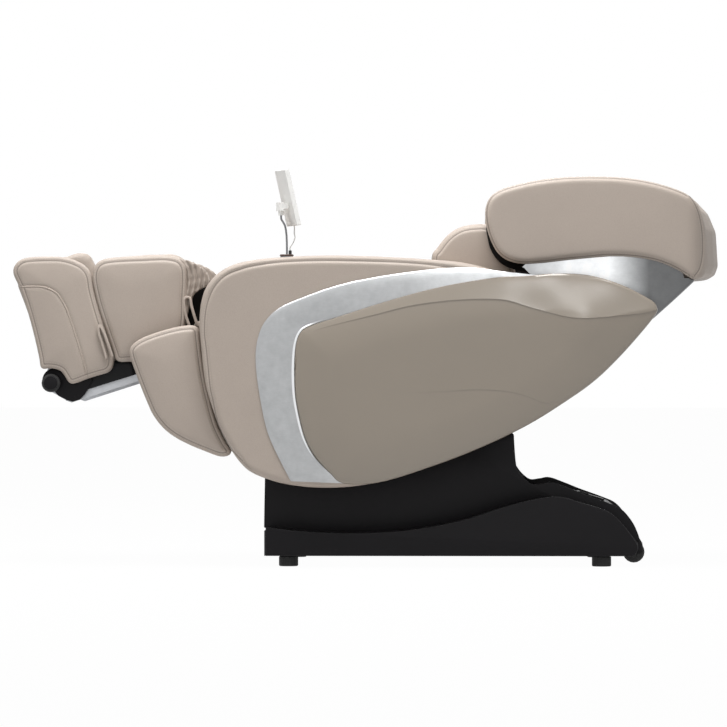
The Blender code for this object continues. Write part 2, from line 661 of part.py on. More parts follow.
def make_switch(body):
    half = SWITCH_LENGTH / 2
    outline = [deck_point(SWITCH_ALONG - half, 0.003), deck_point(SWITCH_ALONG + half, 0.003),
               deck_point(SWITCH_ALONG + half, 0.012), deck_point(SWITCH_ALONG, 0.0105),
               deck_point(SWITCH_ALONG - half, 0.012)]
    rocker = add_slab(shape(), outline, *SWITCH_Y)
    piece("power_switch", body, RUBBER, rocker, bevel=0.001, segments=1)


def wheel_profile(radius, width, bore):
    edge = radius * 0.15
    return [(bore, -width / 2), (radius - edge, -width / 2), (radius, -width / 2 + edge),
            (radius, width / 2 - edge), (radius - edge, width / 2), (bore, width / 2)]


# Carriage and seat

def make_carriage(body):
    outer = RAIL_INNER + RAIL_WIDTH
    plate = add_box(shape(), (CARRIAGE_FRONT, -outer, SLIDE_RAIL_TOP + GAP),
                    (CARRIAGE_REAR, outer, SLIDE_RAIL_TOP + CARRIAGE_PLATE))
    window = side_box(shape(), (-0.150, 0.085), (0.030, RAIL_INNER - 0.025), (0.150, 0.300))
    x, z = TILT_PIVOT
    lugs = side_box(shape(), (x - 0.026, x + 0.026), (RAIL_INNER, RAIL_INNER + LUG_WIDTH), (0.215, z))
    bosses = side_rod(shape(), TILT_PIVOT, RAIL_INNER - 0.001, RAIL_INNER + LUG_WIDTH - 0.001, 0.026, 20)
    pins = side_rod(shape(), TILT_PIVOT, RAIL_INNER + 0.004, PLATE_OUTER + 0.010, TILT_PIN, 20)
    nut = add_box(shape(), (-0.110, -0.022, SCREW_HEIGHT - 0.022), (-0.070, 0.022, 0.216))
    (end_x, end_z), _, off = TILT_ACTUATOR
    half = ACTUATOR_EYE_WIDTH / 2 + GAP
    ears = shape()
    for side in (-1, 1):
        y0, y1 = sorted((off + side * half, off + side * (half + 0.006)))
        add_box(ears, (end_x - 0.012, y0, 0.220), (end_x + 0.012, y1, end_z + 0.012))
    pin = add_rod(shape(), (end_x, off - half - 0.004, end_z), (end_x, off + half + 0.004, end_z),
                  SMALL_PIN, 12)
    screw_hole = add_rod(shape(), (-0.130, 0.0, SCREW_HEIGHT), (-0.050, 0.0, SCREW_HEIGHT),
                         SCREW_RADIUS + RUNNING_GAP, 12)
    piece("carriage_frame", body, BLACK_STEEL, plate, joined=[lugs, bosses, pins, nut, ears, pin],
          cut=[window, screw_hole])


def capsule(start, end, radius, steps=6):
    """A side-view outline round two points."""
    start, end = Vector(start), Vector(end)
    heading = math.atan2(end.y - start.y, end.x - start.x)
    points = []
    for centre, first in ((end, heading - math.pi / 2), (start, heading + math.pi / 2)):
        for step in range(steps + 1):
            angle = first + math.pi * step / steps
            points.append((centre.x + radius * math.cos(angle), centre.y + radius * math.sin(angle)))
    return points


def make_seat_frame(body):
    plates = side_slab(shape(), metres(SEAT_PLATE_OUTLINE), PLATE_INNER, PLATE_OUTER)
    reach = PLATE_INNER + PLATE_THICKNESS / 2
    tubes = shape()
    add_cross_rod(tubes, LEG_PIVOT, -reach, reach, LEG_PIN, 20)
    add_cross_rod(tubes, BACK_PIVOT, -reach, reach, BACK_PIN, 20)
    add_cross_rod(tubes, BACK_ACTUATOR[0], -reach, reach, BACK_PIN, 16)
    add_cross_rod(tubes, LEG_ACTUATOR[0], -reach, reach, LEG_PIN, 16)
    arm_reach = ARM_INNER - GAP
    side_rod(tubes, (-0.300, 0.440), PLATE_INNER + 0.002, arm_reach, CROSS_TUBE, 16)
    side_rod(tubes, (0.000, 0.315), PLATE_INNER + 0.002, arm_reach, CROSS_TUBE, 16)
    side_rod(tubes, (-0.405, 0.422), PLATE_INNER + 0.002, KNEE_INNER - GAP, LEG_PIN, 16)
    (front_x, front_z), (rear_x, rear_z) = metres([SEAT_BOTTOM_FRONT, SEAT_BOTTOM_REAR])
    pan = [(rear_x - 0.010, rear_z - GAP + 0.010 * PAN_RISE),
           (front_x + 0.015, front_z - GAP - 0.015 * PAN_RISE),
           (front_x + 0.015, front_z - GAP - 0.015 * PAN_RISE - PAN_THICKNESS),
           (rear_x - 0.010, rear_z - GAP + 0.010 * PAN_RISE - PAN_THICKNESS)]
    reach = PLATE_INNER + 0.004
    seat_pan = add_slab(shape(), pan, -reach, reach)
    wall_up = shape()
    side_slab(wall_up, [(0.000, 0.385), (-0.400, 0.500), (-0.405, 0.5485), (-0.010, 0.3930)],
              PLATE_INNER + 0.001, PLATE_OUTER - 0.001)
    off = TILT_ACTUATOR[2]
    lug = add_slab(shape(), capsule(LEG_ACTUATOR[0], TILT_ACTUATOR[1], 0.012),
                   off - ACTUATOR_LUG / 2, off + ACTUATOR_LUG / 2)
    holes = side_rod(shape(), TILT_PIVOT, PLATE_INNER - 0.010, PLATE_OUTER + 0.010,
                     TILT_PIN + RUNNING_GAP, 20)
    piece("seat_frame", body, BLACK_STEEL, plates, joined=[tubes, wall_up, seat_pan, lug], cut=[holes])


def channelled(start, end, channels, rise, steps=4):
    """A top line from one point to another in even swells, each one rising between two dips."""
    start, end = Vector(start), Vector(end)
    run = end - start
    out = Vector((-run.y, run.x)).normalized()
    if out.y < 0:
        out = -out
    points = []
    for index in range(channels * steps + 1):
        share = index / (channels * steps)
        swell = abs(math.sin(math.pi * share * channels)) ** 0.7
        points.append(tuple(start + run * share + out * rise * swell))
    return points


def make_seat_cushion(body):
    top = channelled(SEAT_TOP_REAR, SEAT_TOP_FRONT, SEAT_CHANNELS, SEAT_CHANNEL_RISE)
    outline = top + SEAT_FRONT_ROLL + [SEAT_BOTTOM_FRONT, SEAT_BOTTOM_REAR, (22, 405)]
    cushion = add_slab(shape(), metres(outline), -SEAT_HALF_WIDTH, SEAT_HALF_WIDTH)
    piece("seat_cushion", body, LEATHER, cushion, bevel=0.014, segments=3)


def make_arm(body, side, suffix):
    core = add_slab(shape(), metres(ARM_BODY_OUTLINE), side * ARM_INNER, side * ARM_BODY_OUTER)
    channel = add_slab(shape(), smooth(metres([
        (-300, 640), (-270, 690), (-100, 698), (100, 694), (150, 650), (110, 600), (-100, 590),
        (-270, 595)]), 2), side * (ARM_INNER - 0.020), side * (ARM_BODY_OUTER - 0.014))
    cuts = [channel]
    if side < 0:
        cuts.append(add_box(shape(), (REMOTE_X - 0.010, REMOTE_Y - FLANGE_RADIUS - 0.006, ARM_SEAT_HEIGHT),
                            (REMOTE_X + 0.036, REMOTE_Y + FLANGE_RADIUS + 0.006, 0.800)))
    piece(f"arm_body_{suffix}", body, LEATHER, core, cut=cuts)

    cover = add_slab(shape(), metres(ARM_OUTLINE), side * ARM_COVER_INNER, side * ARM_COVER_OUTER)
    made = piece(f"arm_cover_{suffix}", body, LEATHER, cover)
    weight_rim(made, side * ARM_COVER_OUTER)
    bevel = add_bevel(made, 0.016, 3)
    bevel.limit_method = "WEIGHT"

    shell_outline = metres(SIDE_SHELL_TAIL + TRIM_INNER_EDGE)
    shell = add_slab(shape(), shell_outline, side * TRIM_INNER, side * (TRIM_INNER + SIDE_SHELL_THICKNESS))
    made = piece(f"side_shell_{suffix}", body, SIDE_PLASTIC, shell)
    weight_rim(made, side * (TRIM_INNER + SIDE_SHELL_THICKNESS))
    bevel = add_bevel(made, 0.007, 2)
    bevel.limit_method = "WEIGHT"

    edge = TRIM_OUTER_EDGE + [(x - 1, z) if x < 0 else (x, z + 0.7) for x, z in TRIM_INNER_EDGE]
    trim = add_slab(shape(), metres(edge), side * TRIM_INNER, side * (TRIM_INNER + TRIM_THICKNESS))
    piece(f"arm_trim_{suffix}", body, SILVER, trim)

    knee = add_slab(shape(), metres(KNEE_OUTLINE), side * KNEE_INNER, side * (KNEE_INNER + KNEE_PANEL),
                    crown=0.004, rim=0.014)
    piece(f"knee_panel_{suffix}", body, LEATHER, knee, bevel=0.010, segments=2)


def weight_rim(made, y):
    """Mark the edges of the face that looks outwards, so that only they are rounded."""
    local = y - made.parent["pivot"][1]
    mesh = made.data
    weights = mesh.attributes.new("bevel_weight_edge", "FLOAT", "EDGE")
    for edge in mesh.edges:
        if all(abs(mesh.vertices[index].co.y - local) < 1e-5 for index in edge.vertices):
            weights.data[edge.index].value = 1.0


# Remote

def make_remote(neck_body, tablet_body):
    """The stand turns on its flange, and the tablet tips in the cradle at its top."""
    seat = ARM_SEAT_HEIGHT + GAP
    flange = add_rod(shape(), (FLANGE_X, REMOTE_Y, seat), (FLANGE_X, REMOTE_Y, seat + FLANGE_THICKNESS),
                     FLANGE_RADIUS, 20)
    route = [(FLANGE_X, seat + 0.0017), (FLANGE_X + 0.0005, seat + 0.019), (FLANGE_X - 0.0005, seat + 0.055),
             (FLANGE_X - 0.0045, NECK_TOP - 0.025), (REMOTE_X + 0.001, NECK_TOP - 0.011),
             (REMOTE_X, NECK_TOP - 0.004), (REMOTE_X, NECK_TOP)]
    stem = tube_mesh(smooth(route, 2, closed=False), NECK_RADIUS)
    piece("tablet_neck", neck_body, ZINC, flange, joined=[stem])

    radius, length = CABLE_PLUG
    plug_bottom = seat + FLANGE_THICKNESS + GAP
    plug_x = FLANGE_X + 0.0085
    plug = add_rod(shape(), (plug_x, REMOTE_Y, plug_bottom), (plug_x, REMOTE_Y, plug_bottom + length),
                   radius, 12)
    piece("cable_plug", neck_body, RUBBER, plug)

    middle = (NECK_TOP + TABLET_HINGE_HEIGHT) / 2
    post = add_rod(shape(), (REMOTE_X, REMOTE_Y, NECK_TOP + GAP), (REMOTE_X, REMOTE_Y, middle + 0.004),
                   0.007, 16)
    block = oriented_box((-0.008, 0.002), (-0.016, 0.016), (middle, TABLET_HINGE_HEIGHT + 0.010))
    ears = [oriented_box((0.000, 0.0125), across, (TABLET_HINGE_HEIGHT - 0.006, TABLET_HINGE_HEIGHT + 0.006))
            for across in ((-0.0160, -0.0101), (0.0101, 0.0160))]
    piece("tablet_cradle", neck_body, CREAM_PLASTIC, post, joined=[block, *ears])

    tablet = tablet_slab()
    knuckle = add_rod(shape(), remote_point(TABLET_HINGE_REACH, -0.0095, TABLET_HINGE_HEIGHT),
                      remote_point(TABLET_HINGE_REACH, 0.0095, TABLET_HINGE_HEIGHT), 0.0045, 12)
    web = oriented_box((TABLET_HINGE_REACH, TABLET_BACK_REACH + 0.003), (-0.008, 0.008),
                       (TABLET_HINGE_HEIGHT - 0.003, TABLET_HINGE_HEIGHT + 0.003))
    piece("tablet", tablet_body, CREAM_PLASTIC, tablet, joined=[knuckle, web], bevel=0.002)

    make_cable(neck_body, plug_x, plug_bottom + length)


def oriented_box(reach, across, heights):
    """A box square to the remote, by its reach towards the sitter, its width and its heights."""
    bm = add_box(shape(), (reach[0], across[0], heights[0]), (reach[1], across[1], heights[1]))
    turn_to_remote(bm)
    return bm


def turn_to_remote(bm):
    matrix = Matrix.Translation((REMOTE_X, REMOTE_Y, 0.0)) @ Matrix.Rotation(REMOTE_TURN, 4, "Z")
    bmesh.ops.transform(bm, matrix=matrix, verts=bm.verts[:])


def tablet_slab():
    """The tablet leans back over the cradle, square to the sitter's view."""
    thick, wide, tall = TABLET_SIZE
    bm = add_box(shape(), (0.0, -wide / 2, -TABLET_BELOW_HINGE),
                 (thick, wide / 2, tall - TABLET_BELOW_HINGE))
    lean = Matrix.Translation((TABLET_BACK_REACH, 0.0, TABLET_HINGE_HEIGHT)) @ Matrix.Rotation(
        -REMOTE_TILT, 4, "Y")
    bmesh.ops.transform(bm, matrix=lean, verts=bm.verts[:])
    turn_to_remote(bm)
    return bm


def tablet_bottom():
    """The middle of the tablet's lower edge, and the way that edge faces."""
    thick = TABLET_SIZE[0]
    sine, cosine = math.sin(REMOTE_TILT), math.cos(REMOTE_TILT)
    reach = TABLET_BACK_REACH + thick / 2 * cosine + TABLET_BELOW_HINGE * sine
    height = TABLET_HINGE_HEIGHT - TABLET_BELOW_HINGE * cosine + thick / 2 * sine
    return Vector(remote_point(reach, 0.0, height)), Vector(
        (sine * math.cos(REMOTE_TURN), sine * math.sin(REMOTE_TURN), -cosine))


def make_cable(body, plug_x, plug_top):
    """The remote's lead, from the tablet's lower edge to its plug."""
    start, down = tablet_bottom()
    first = start + down * (GAP + 0.0002)
    route = [tuple(first), tuple(start + down * 0.006),
             (-0.1800, REMOTE_Y + 0.009, plug_top + 0.0434), (-0.1785, REMOTE_Y + 0.008, plug_top + 0.0324),
             (-0.1835, REMOTE_Y + 0.004, plug_top + 0.0184), (plug_x, REMOTE_Y, plug_top + 0.0084),
             (plug_x, REMOTE_Y, plug_top + GAP)]
    points = smooth(route, 4, closed=False)
    curve = bpy.data.curves.new("tablet_cable", "CURVE")
    curve.dimensions = "3D"
    curve.bevel_depth = CABLE_RADIUS
    curve.bevel_resolution = 2
    curve.use_fill_caps = True
    spline = curve.splines.new("POLY")
    spline.points.add(len(points) - 1)
    pivot = Vector(body["pivot"])
    for point, place in zip(spline.points, points):
        point.co = (*(Vector(place) - pivot), 1.0)
    made = bpy.data.objects.new("tablet_cable", curve)
    curve.materials.append(material(CABLE_GREY))
    PARTS.objects.link(made)
    made.parent = body


def tube_mesh(route, radius):
    """A bent rod in the side view, drawn as a curve and read back as a closed mesh."""
    curve = bpy.data.curves.new("rod", "CURVE")
    curve.dimensions = "3D"
    curve.bevel_depth = radius
    curve.bevel_resolution = 2
    curve.use_fill_caps = True
    spline = curve.splines.new("POLY")
    spline.points.add(len(route) - 1)
    for point, (x, z) in zip(spline.points, route):
        point.co = (x, REMOTE_Y, z, 1.0)
    guide = bpy.data.objects.new("rod", curve)
    GUIDES.objects.link(guide)
    bpy.context.view_layer.update()
    mesh = bpy.data.meshes.new_from_object(guide.evaluated_get(bpy.context.evaluated_depsgraph_get()))
    bm = bmesh.new()
    bm.from_mesh(mesh)
    bmesh.ops.remove_doubles(bm, verts=bm.verts[:], dist=0.00001)
    bpy.data.objects.remove(guide, do_unlink=True)
    bpy.data.meshes.remove(mesh)
    return bm


# Legrest and footrest

def make_legrest(body):
    reach = RAIL_INNER + LUG_WIDTH + 0.0005
    plate = add_box(shape(), (-0.640, -reach, 0.500), (-0.468, reach, 0.5127))
    lugs = shape()
    side_slab(lugs, capsule(LEG_PIVOT, (-0.490, 0.500), 0.0115, 6), RAIL_INNER, RAIL_INNER + LUG_WIDTH)
    bosses = side_rod(shape(), LEG_PIVOT, RAIL_INNER - 0.001, RAIL_INNER + LUG_WIDTH + 0.001, 0.019, 20)
    bar = RAIL_INNER + LUG_WIDTH + RUNNING_GAP
    bars = side_slab(shape(), metres(LEG_BAR_OUTLINE), bar, bar + LEG_BAR)
    ties = side_box(shape(), (-0.636, -0.600), (RAIL_INNER + 0.010, RAIL_INNER + 0.022), (0.4995, 0.5045))
    off = LEG_ACTUATOR[2]
    lug = add_slab(shape(), capsule(LEG_ACTUATOR[1], (-0.482, 0.500), 0.011), off - ACTUATOR_LUG / 2,
                   off + ACTUATOR_LUG / 2)
    bores = side_rod(shape(), LEG_PIVOT, RAIL_INNER - 0.010, RAIL_INNER + LUG_WIDTH + 0.010,
                     LEG_PIN + RUNNING_GAP, 20)
    piece("leg_frame", body, BLACK_STEEL, plate, joined=[lugs, bosses, ties, bars, lug], cut=[bores])

    inner = LEG_HALF_WIDTH - LEG_WALL
    floor = add_slab(shape(), metres(CALF_FLOOR_OUTLINE), -inner + GAP, inner - GAP)
    divider = add_slab(shape(), smooth(metres(CALF_DIVIDER_OUTLINE), 1), -0.026, 0.026)
    piece("calf_pad", body, LEATHER, floor, joined=[divider], bevel=0.012, segments=2)
    for side, suffix in ((-1, "l"), (1, "r")):
        wall = add_slab(shape(), metres(CALF_WALL_OUTLINE), side * inner, side * LEG_HALF_WIDTH,
                        crown=0.003, rim=0.024)
        piece(f"calf_wall_{suffix}", body, LEATHER, wall, bevel=0.013, segments=2)
        gusset = add_slab(shape(), metres(GUSSET_OUTLINE), side * (inner + 0.004),
                          side * (LEG_HALF_WIDTH - 0.004))
        piece(f"knee_gusset_{suffix}", body, LEATHER, gusset, bevel=0.008, segments=2)


def make_footrest(body):
    rails = side_slab(shape(), metres(FOOT_RAIL_OUTLINE), RAIL_INNER, RAIL_INNER + LUG_WIDTH)
    webs = side_slab(shape(), metres(FOOT_WEB_OUTLINE), RAIL_INNER, RAIL_INNER + LUG_WIDTH)
    plate = add_box(shape(), (-0.805, -RAIL_INNER - 0.010, 0.484), (-0.680, RAIL_INNER + 0.010, 0.4957))
    wheel_end = FOOT_WHEEL_Y + FOOT_WHEEL_WIDTH / 2 + 0.003
    axles = side_rod(shape(), FOOT_WHEEL_CENTRE, RAIL_INNER + 0.003, wheel_end, WHEEL_AXLE, 12)
    x, z = SOLE_ROLLER_CENTRE
    posts = side_box(shape(), (x - 0.010, x + 0.010), (RAIL_INNER - 0.014, RAIL_INNER - 0.002),
                     (0.490, z + 0.012))
    reach = RAIL_INNER + 0.010
    bores = add_rod(shape(), (x, -reach, z), (x, reach, z), SOLE_SHAFT + RUNNING_GAP, 12)
    piece("foot_frame", body, ZINC, rails, joined=[webs, plate, axles, posts], cut=[bores])

    inner = LEG_HALF_WIDTH - LEG_WALL
    pad = add_slab(shape(), metres(FOOT_PAD_OUTLINE), -inner + GAP, inner - GAP)
    divider = add_slab(shape(), metres(FOOT_DIVIDER_OUTLINE), -0.026, 0.026)
    reach = RAIL_INNER + 0.003
    pocket = add_box(shape(), (x - 0.024, -reach, 0.480), (x + 0.024, reach, z + 0.022))
    piece("foot_pad", body, LEATHER, pad, joined=[divider], cut=[pocket], bevel=0.012, segments=2)
    for side, suffix in ((-1, "l"), (1, "r")):
        wall = add_slab(shape(), metres(FOOT_WALL_OUTLINE), side * inner, side * LEG_HALF_WIDTH,
                        crown=0.003, rim=0.022)
        piece(f"foot_wall_{suffix}", body, LEATHER, wall, bevel=0.012, segments=2)


def make_sole_roller(body):
    x, z = SOLE_ROLLER_CENTRE
    shaft = add_rod(shape(), (x, -RAIL_INNER, z), (x, RAIL_INNER, z), SOLE_SHAFT, 12)
    rollers = shape()
    for side in (-1, 1):
        for start in (0.060, 0.115):
            add_cross_rod(rollers, (x, z), side * start, side * (start + 0.035), SOLE_ROLLER, 12)
    piece("sole_roller", body, ZINC, shaft, joined=[rollers])


# Backrest

def make_backrest(body):
    make_back_frame(body)
    make_back_shell(body)
    make_hood(body)
    top = BACK_FRAME_DEPTH + GAP
    swells = channelled((0.055, top + BACK_CUSHION), (0.535, top + BACK_CUSHION), 5, 0.006)
    outline = [(0.048, top), (0.040, top + 0.030)] + swells + [
        (BACK_LENGTH - 0.040, top + BACK_CUSHION), (BACK_LENGTH - 0.022, top + BACK_CUSHION - 0.014),
        (BACK_LENGTH - 0.015, top + 0.020), (BACK_LENGTH - 0.025, top)]
    cushion = add_slab(shape(), back_outline(outline), -BACK_CUSHION_HALF_WIDTH, BACK_CUSHION_HALF_WIDTH)
    piece("back_cushion", body, LEATHER, cushion, bevel=0.014, segments=3)

    inner = BACK_CUSHION_HALF_WIDTH + GAP
    for side, suffix in ((-1, "l"), (1, "r")):
        pad = add_slab(shape(), metres(SHOULDER_OUTLINE), side * inner, side * (inner + SHOULDER_PAD),
                       crown=0.002, rim=0.024)
        piece(f"shoulder_pad_{suffix}", body, LEATHER, pad, bevel=0.016, segments=3)

    rest = top + BACK_CUSHION + 0.0005
    pillow = smooth([(0.690, rest), (0.560, rest), (0.545, rest + 0.020), (0.565, rest + 0.042),
                     (0.625, rest + 0.052), (0.685, rest + 0.042), (0.705, rest + 0.020)], 2)
    pillow = [(along, max(out, rest)) for along, out in pillow]
    cushion = add_slab(shape(), back_outline(pillow), -HEAD_PILLOW_HALF_WIDTH, HEAD_PILLOW_HALF_WIDTH)
    piece("head_pillow", body, LEATHER, cushion, bevel=0.014, segments=2)


def make_back_frame(body):
    inner, outer = BACK_SIDE_INNER, BACK_SIDE_INNER + BACK_SIDE_THICKNESS
    side_plate = back_outline([
        (-0.022, -0.012), (-0.012, -0.022), (0.012, -0.022), (BACK_LENGTH, -0.022), (BACK_LENGTH, 0.045),
        (BACK_LENGTH - 0.040, BACK_FRAME_DEPTH), (0.070, BACK_FRAME_DEPTH), (0.012, 0.022), (-0.012, 0.022),
        (-0.022, 0.012)])
    sides = side_slab(shape(), side_plate, inner, outer)
    reach = inner + 0.006
    tubes = shape()
    for along in (0.060, 0.300, 0.480):
        add_cross_rod(tubes, back_point(along, -0.013), -reach, reach, 0.008, 12)
    shell_reach = BACK_SHELL_HALF_WIDTH - MOULDING_WALL - GAP
    for along in (0.570, BACK_LENGTH - 0.040):
        add_cross_rod(tubes, back_point(along, -0.013), -shell_reach, shell_reach, 0.008, 12)
    panel = add_slab(shape(), back_outline([(0.090, -0.0215), (0.560, -0.0215), (0.560, -0.0175),
                                            (0.090, -0.0175)]), -reach, reach)
    off = BACK_ACTUATOR[2]
    lug = add_slab(shape(), capsule(BACK_ACTUATOR[1], back_point(0.060, -0.013), 0.012),
                   off - ACTUATOR_LUG / 2, off + ACTUATOR_LUG / 2)
    bores = side_rod(shape(), BACK_PIVOT, inner - 0.010, outer + 0.010, BACK_PIN + RUNNING_GAP, 20)
    piece("back_frame", body, BLACK_STEEL, sides, joined=[tubes, panel, lug], cut=[bores])


def make_back_shell(body):
    low, high = (math.radians(angle) for angle in SHELL_FRONT_ANGLES)
    arc = [(BACK_PIVOT[0] + SHELL_FRONT_RADIUS * math.cos(low + (high - low) * step / 6),
            BACK_PIVOT[1] + SHELL_FRONT_RADIUS * math.sin(low + (high - low) * step / 6))
           for step in range(7)]
    outline = metres(SHELL_TOP_EDGE + SHELL_UNDERSIDE) + arc
    shell = add_slab(shape(), outline, -BACK_SHELL_HALF_WIDTH, BACK_SHELL_HALF_WIDTH)
    shell.faces.ensure_lookup_table()
    centre = Vector((BACK_PIVOT[0], 0.0, BACK_PIVOT[1]))
    opened = []
    for face in shell.faces:
        middle = face.calc_center_median()
        on_arc = (middle - centre).length < SHELL_FRONT_RADIUS + 0.003
        if abs(face.normal.y) < 0.5 and (on_arc or (face.normal.z > 0.2 and middle.x < 0.800)):
            opened.append(face)
    bmesh.ops.delete(shell, geom=opened, context="FACES")
    piece("back_shell", body, SILVER, shell, bevel=0.012, shell=MOULDING_WALL)


def hood_plan(share, depth, half_width):
    """A point on the hood's line seen from above, which bulges back from one wing to the other."""
    across = -math.cos(math.pi * share)
    rise = max(0.0, 1.0 - abs(across) ** HOOD_BACK_ROUNDNESS) ** (1.0 / HOOD_BACK_ROUNDNESS)
    return Vector((HOOD_BACK_START + depth * rise, half_width * across))


def make_hood(body):
    inner = HOOD_HALF_WIDTH - HOOD_WALL
    for side, suffix in ((-1, "l"), (1, "r")):
        wing = add_slab(shape(), metres(HOOD_WING_OUTLINE), side * inner, side * HOOD_HALF_WIDTH,
                        crown=0.004, rim=0.018)
        piece(f"hood_wing_{suffix}", body, LEATHER, wing, bevel=0.014, segments=2)

    bm = shape()
    section = metres(HOOD_BACK_SECTION)
    rings = []
    for station in range(HOOD_BACK_STATIONS + 1):
        share = station / HOOD_BACK_STATIONS
        outside = hood_plan(share, HOOD_BACK_DEPTH, HOOD_HALF_WIDTH)
        inside = hood_plan(share, HOOD_BACK_DEPTH - HOOD_BACK_WALL, inner)
        places = [(outside.lerp(inside, depth / HOOD_BACK_WALL), z) for depth, z in section]
        rings.append([bm.verts.new((place.x, place.y, z)) for place, z in places])
    for first, second in zip(rings, rings[1:]):
        for i in range(len(section)):
            j = (i + 1) % len(section)
            bm.faces.new((first[i], first[j], second[j], second[i]))
    bm.faces.new(rings[0])
    bm.faces.new(rings[-1])
    piece("hood_back", body, LEATHER, bm)


def make_massage_carriage(body):
    start, end = MASSAGE_CARRIAGE_START, MASSAGE_CARRIAGE_START + MASSAGE_CARRIAGE_LENGTH
    reach = BACK_SIDE_INNER - GAP
    plate = add_slab(shape(), back_outline([(start, -0.003), (end, -0.003), (end, 0.008), (start, 0.008)]),
                     -reach, reach)
    middle = (start + end) / 2
    ears = side_slab(shape(), back_outline([(middle - 0.025, 0.004), (middle + 0.025, 0.004),
                                            (middle + 0.016, 0.062), (middle - 0.016, 0.062)]),
                     BACK_SIDE_INNER - 0.040, BACK_SIDE_INNER - 0.028)
    bores = side_rod(shape(), knead_centre(), BACK_SIDE_INNER - 0.055, BACK_SIDE_INNER - 0.015,
                     KNEAD_SHAFT + RUNNING_GAP, 16)
    piece("massage_carriage", body, BLACK_STEEL, plate, joined=[ears], cut=[bores])


def make_knead_shaft(body):
    x, z = knead_centre()
    reach = BACK_SIDE_INNER - 0.020
    shaft = add_rod(shape(), (x, -reach, z), (x, reach, z), KNEAD_SHAFT, 16)
    rollers = shape()
    for side in (-1, 1):
        for start in (0.050, 0.095):
            add_cross_rod(rollers, (x, z), side * start, side * (start + 0.024), KNEAD_ROLLER, 16)
    piece("knead_shaft", body, ZINC, shaft, joined=[rollers])


# Actuators

def make_actuator(name, ends, tube_body, rod_body, eye_pin):
    """A tube on a pin at one end, with a rod whose fork straddles a lug at the other."""
    (x0, z0), (x1, z1), off = ends
    start, end = Vector((x0, off, z0)), Vector((x1, off, z1))
    length = (end - start).length
    along = (end - start).normalized()
    barrel_start = eye_pin + ACTUATOR_NECK
    tube_end = start + along * (length * 0.62)
    barrel = add_rod(shape(), start + along * barrel_start, tube_end, ACTUATOR_TUBE, 16)
    half = ACTUATOR_EYE_WIDTH / 2
    eye = add_cross_rod(shape(), (x0, z0), off - half, off + half, eye_pin + ACTUATOR_EYE_WALL, 16)
    neck = add_rod(shape(), start + along * (eye_pin + ACTUATOR_EYE_WALL / 2),
                   start + along * (barrel_start + 0.004), 0.007, 8)
    pin_hole = add_cross_rod(shape(), (x0, z0), off - 0.040, off + 0.040, eye_pin + RUNNING_GAP, 16)
    bore = add_rod(shape(), start + along * (barrel_start + 0.012), tube_end + along * 0.010,
                   ACTUATOR_ROD + RUNNING_GAP, 12)
    piece(f"{name}_tube", tube_body, BLACK_STEEL, barrel, joined=[neck, eye], cut=[pin_hole, bore])

    rod = add_rod(shape(), start + along * (length * 0.45), end - along * 0.022, ACTUATOR_ROD, 12)
    lug_half = ACTUATOR_LUG / 2 + RUNNING_GAP
    block = fork_box(end, along, (-0.032, -0.020), lug_half + ACTUATOR_EAR)
    ears = shape()
    heading = Vector((along.x, along.z))
    base = Vector((x1, z1)) - heading * 0.024
    for side in (-1, 1):
        add_slab(ears, capsule((x1, z1), tuple(base), 0.010), off + side * lug_half,
                 off + side * (lug_half + ACTUATOR_EAR))
    piece(f"{name}_rod", rod_body, ZINC, rod, joined=[block, ears])


def fork_box(end, along, reach, half_width):
    """The block behind a fork's ears, square to the actuator."""
    bm = add_box(shape(), (reach[0], -half_width, -0.010), (reach[1], half_width, 0.010))
    angle = math.atan2(along.z, along.x)
    bmesh.ops.transform(bm, matrix=Matrix.Translation(end) @ Matrix.Rotation(-angle, 4, "Y"),
                        verts=bm.verts[:])
    return bm


def main():
    bodies = make_bodies()
    make_base(bodies["base"])
    make_switch(bodies["switch"])
    for suffix, side in (("l", -1), ("r", 1)):
        turned(f"transport_wheel_{suffix}", bodies[f"wheel_{suffix}"], RUBBER,
               wheel_profile(TRANSPORT_WHEEL, TRANSPORT_WHEEL_WIDTH, WHEEL_AXLE + RUNNING_GAP),
               (TRANSPORT_WHEEL_CENTRE[0], side * TRANSPORT_WHEEL_Y, TRANSPORT_WHEEL_CENTRE[1]))
        turned(f"footrest_wheel_{suffix}", bodies[f"foot_wheel_{suffix}"], RUBBER,
               wheel_profile(FOOT_WHEEL, FOOT_WHEEL_WIDTH, WHEEL_AXLE + RUNNING_GAP),
               (FOOT_WHEEL_CENTRE[0], side * FOOT_WHEEL_Y, FOOT_WHEEL_CENTRE[1]))
        make_arm(bodies["seat"], side, suffix)
    make_carriage(bodies["carriage"])
    make_seat_frame(bodies["seat"])
    make_seat_cushion(bodies["seat"])
    make_remote(bodies["neck"], bodies["tablet"])
    make_legrest(bodies["leg"])
    make_footrest(bodies["foot"])
    make_sole_roller(bodies["sole"])
    make_backrest(bodies["back"])
    make_massage_carriage(bodies["massage"])
    make_knead_shaft(bodies["knead"])
    make_actuator("tilt_actuator", TILT_ACTUATOR, bodies["tilt_tube"], bodies["tilt_rod"], SMALL_PIN)
    make_actuator("back_actuator", BACK_ACTUATOR, bodies["back_tube"], bodies["back_rod"], BACK_PIN)
    make_actuator("leg_actuator", LEG_ACTUATOR, bodies["leg_tube"], bodies["leg_rod"], LEG_PIN)


main()
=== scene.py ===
"""Looks of a zero-gravity massage chair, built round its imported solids.

Metres. X runs from the feet (-X) to the head (+X), Y to the sitter's right, Z up from the floor.
Pads are outlines drawn out, remeshed and swelled, then seamed. Each piece rides on its CAD body.
"""

import json
import math

import bpy
import numpy as np
from bpy.props import FloatProperty, FloatVectorProperty, IntProperty
from mathutils import Matrix, Vector


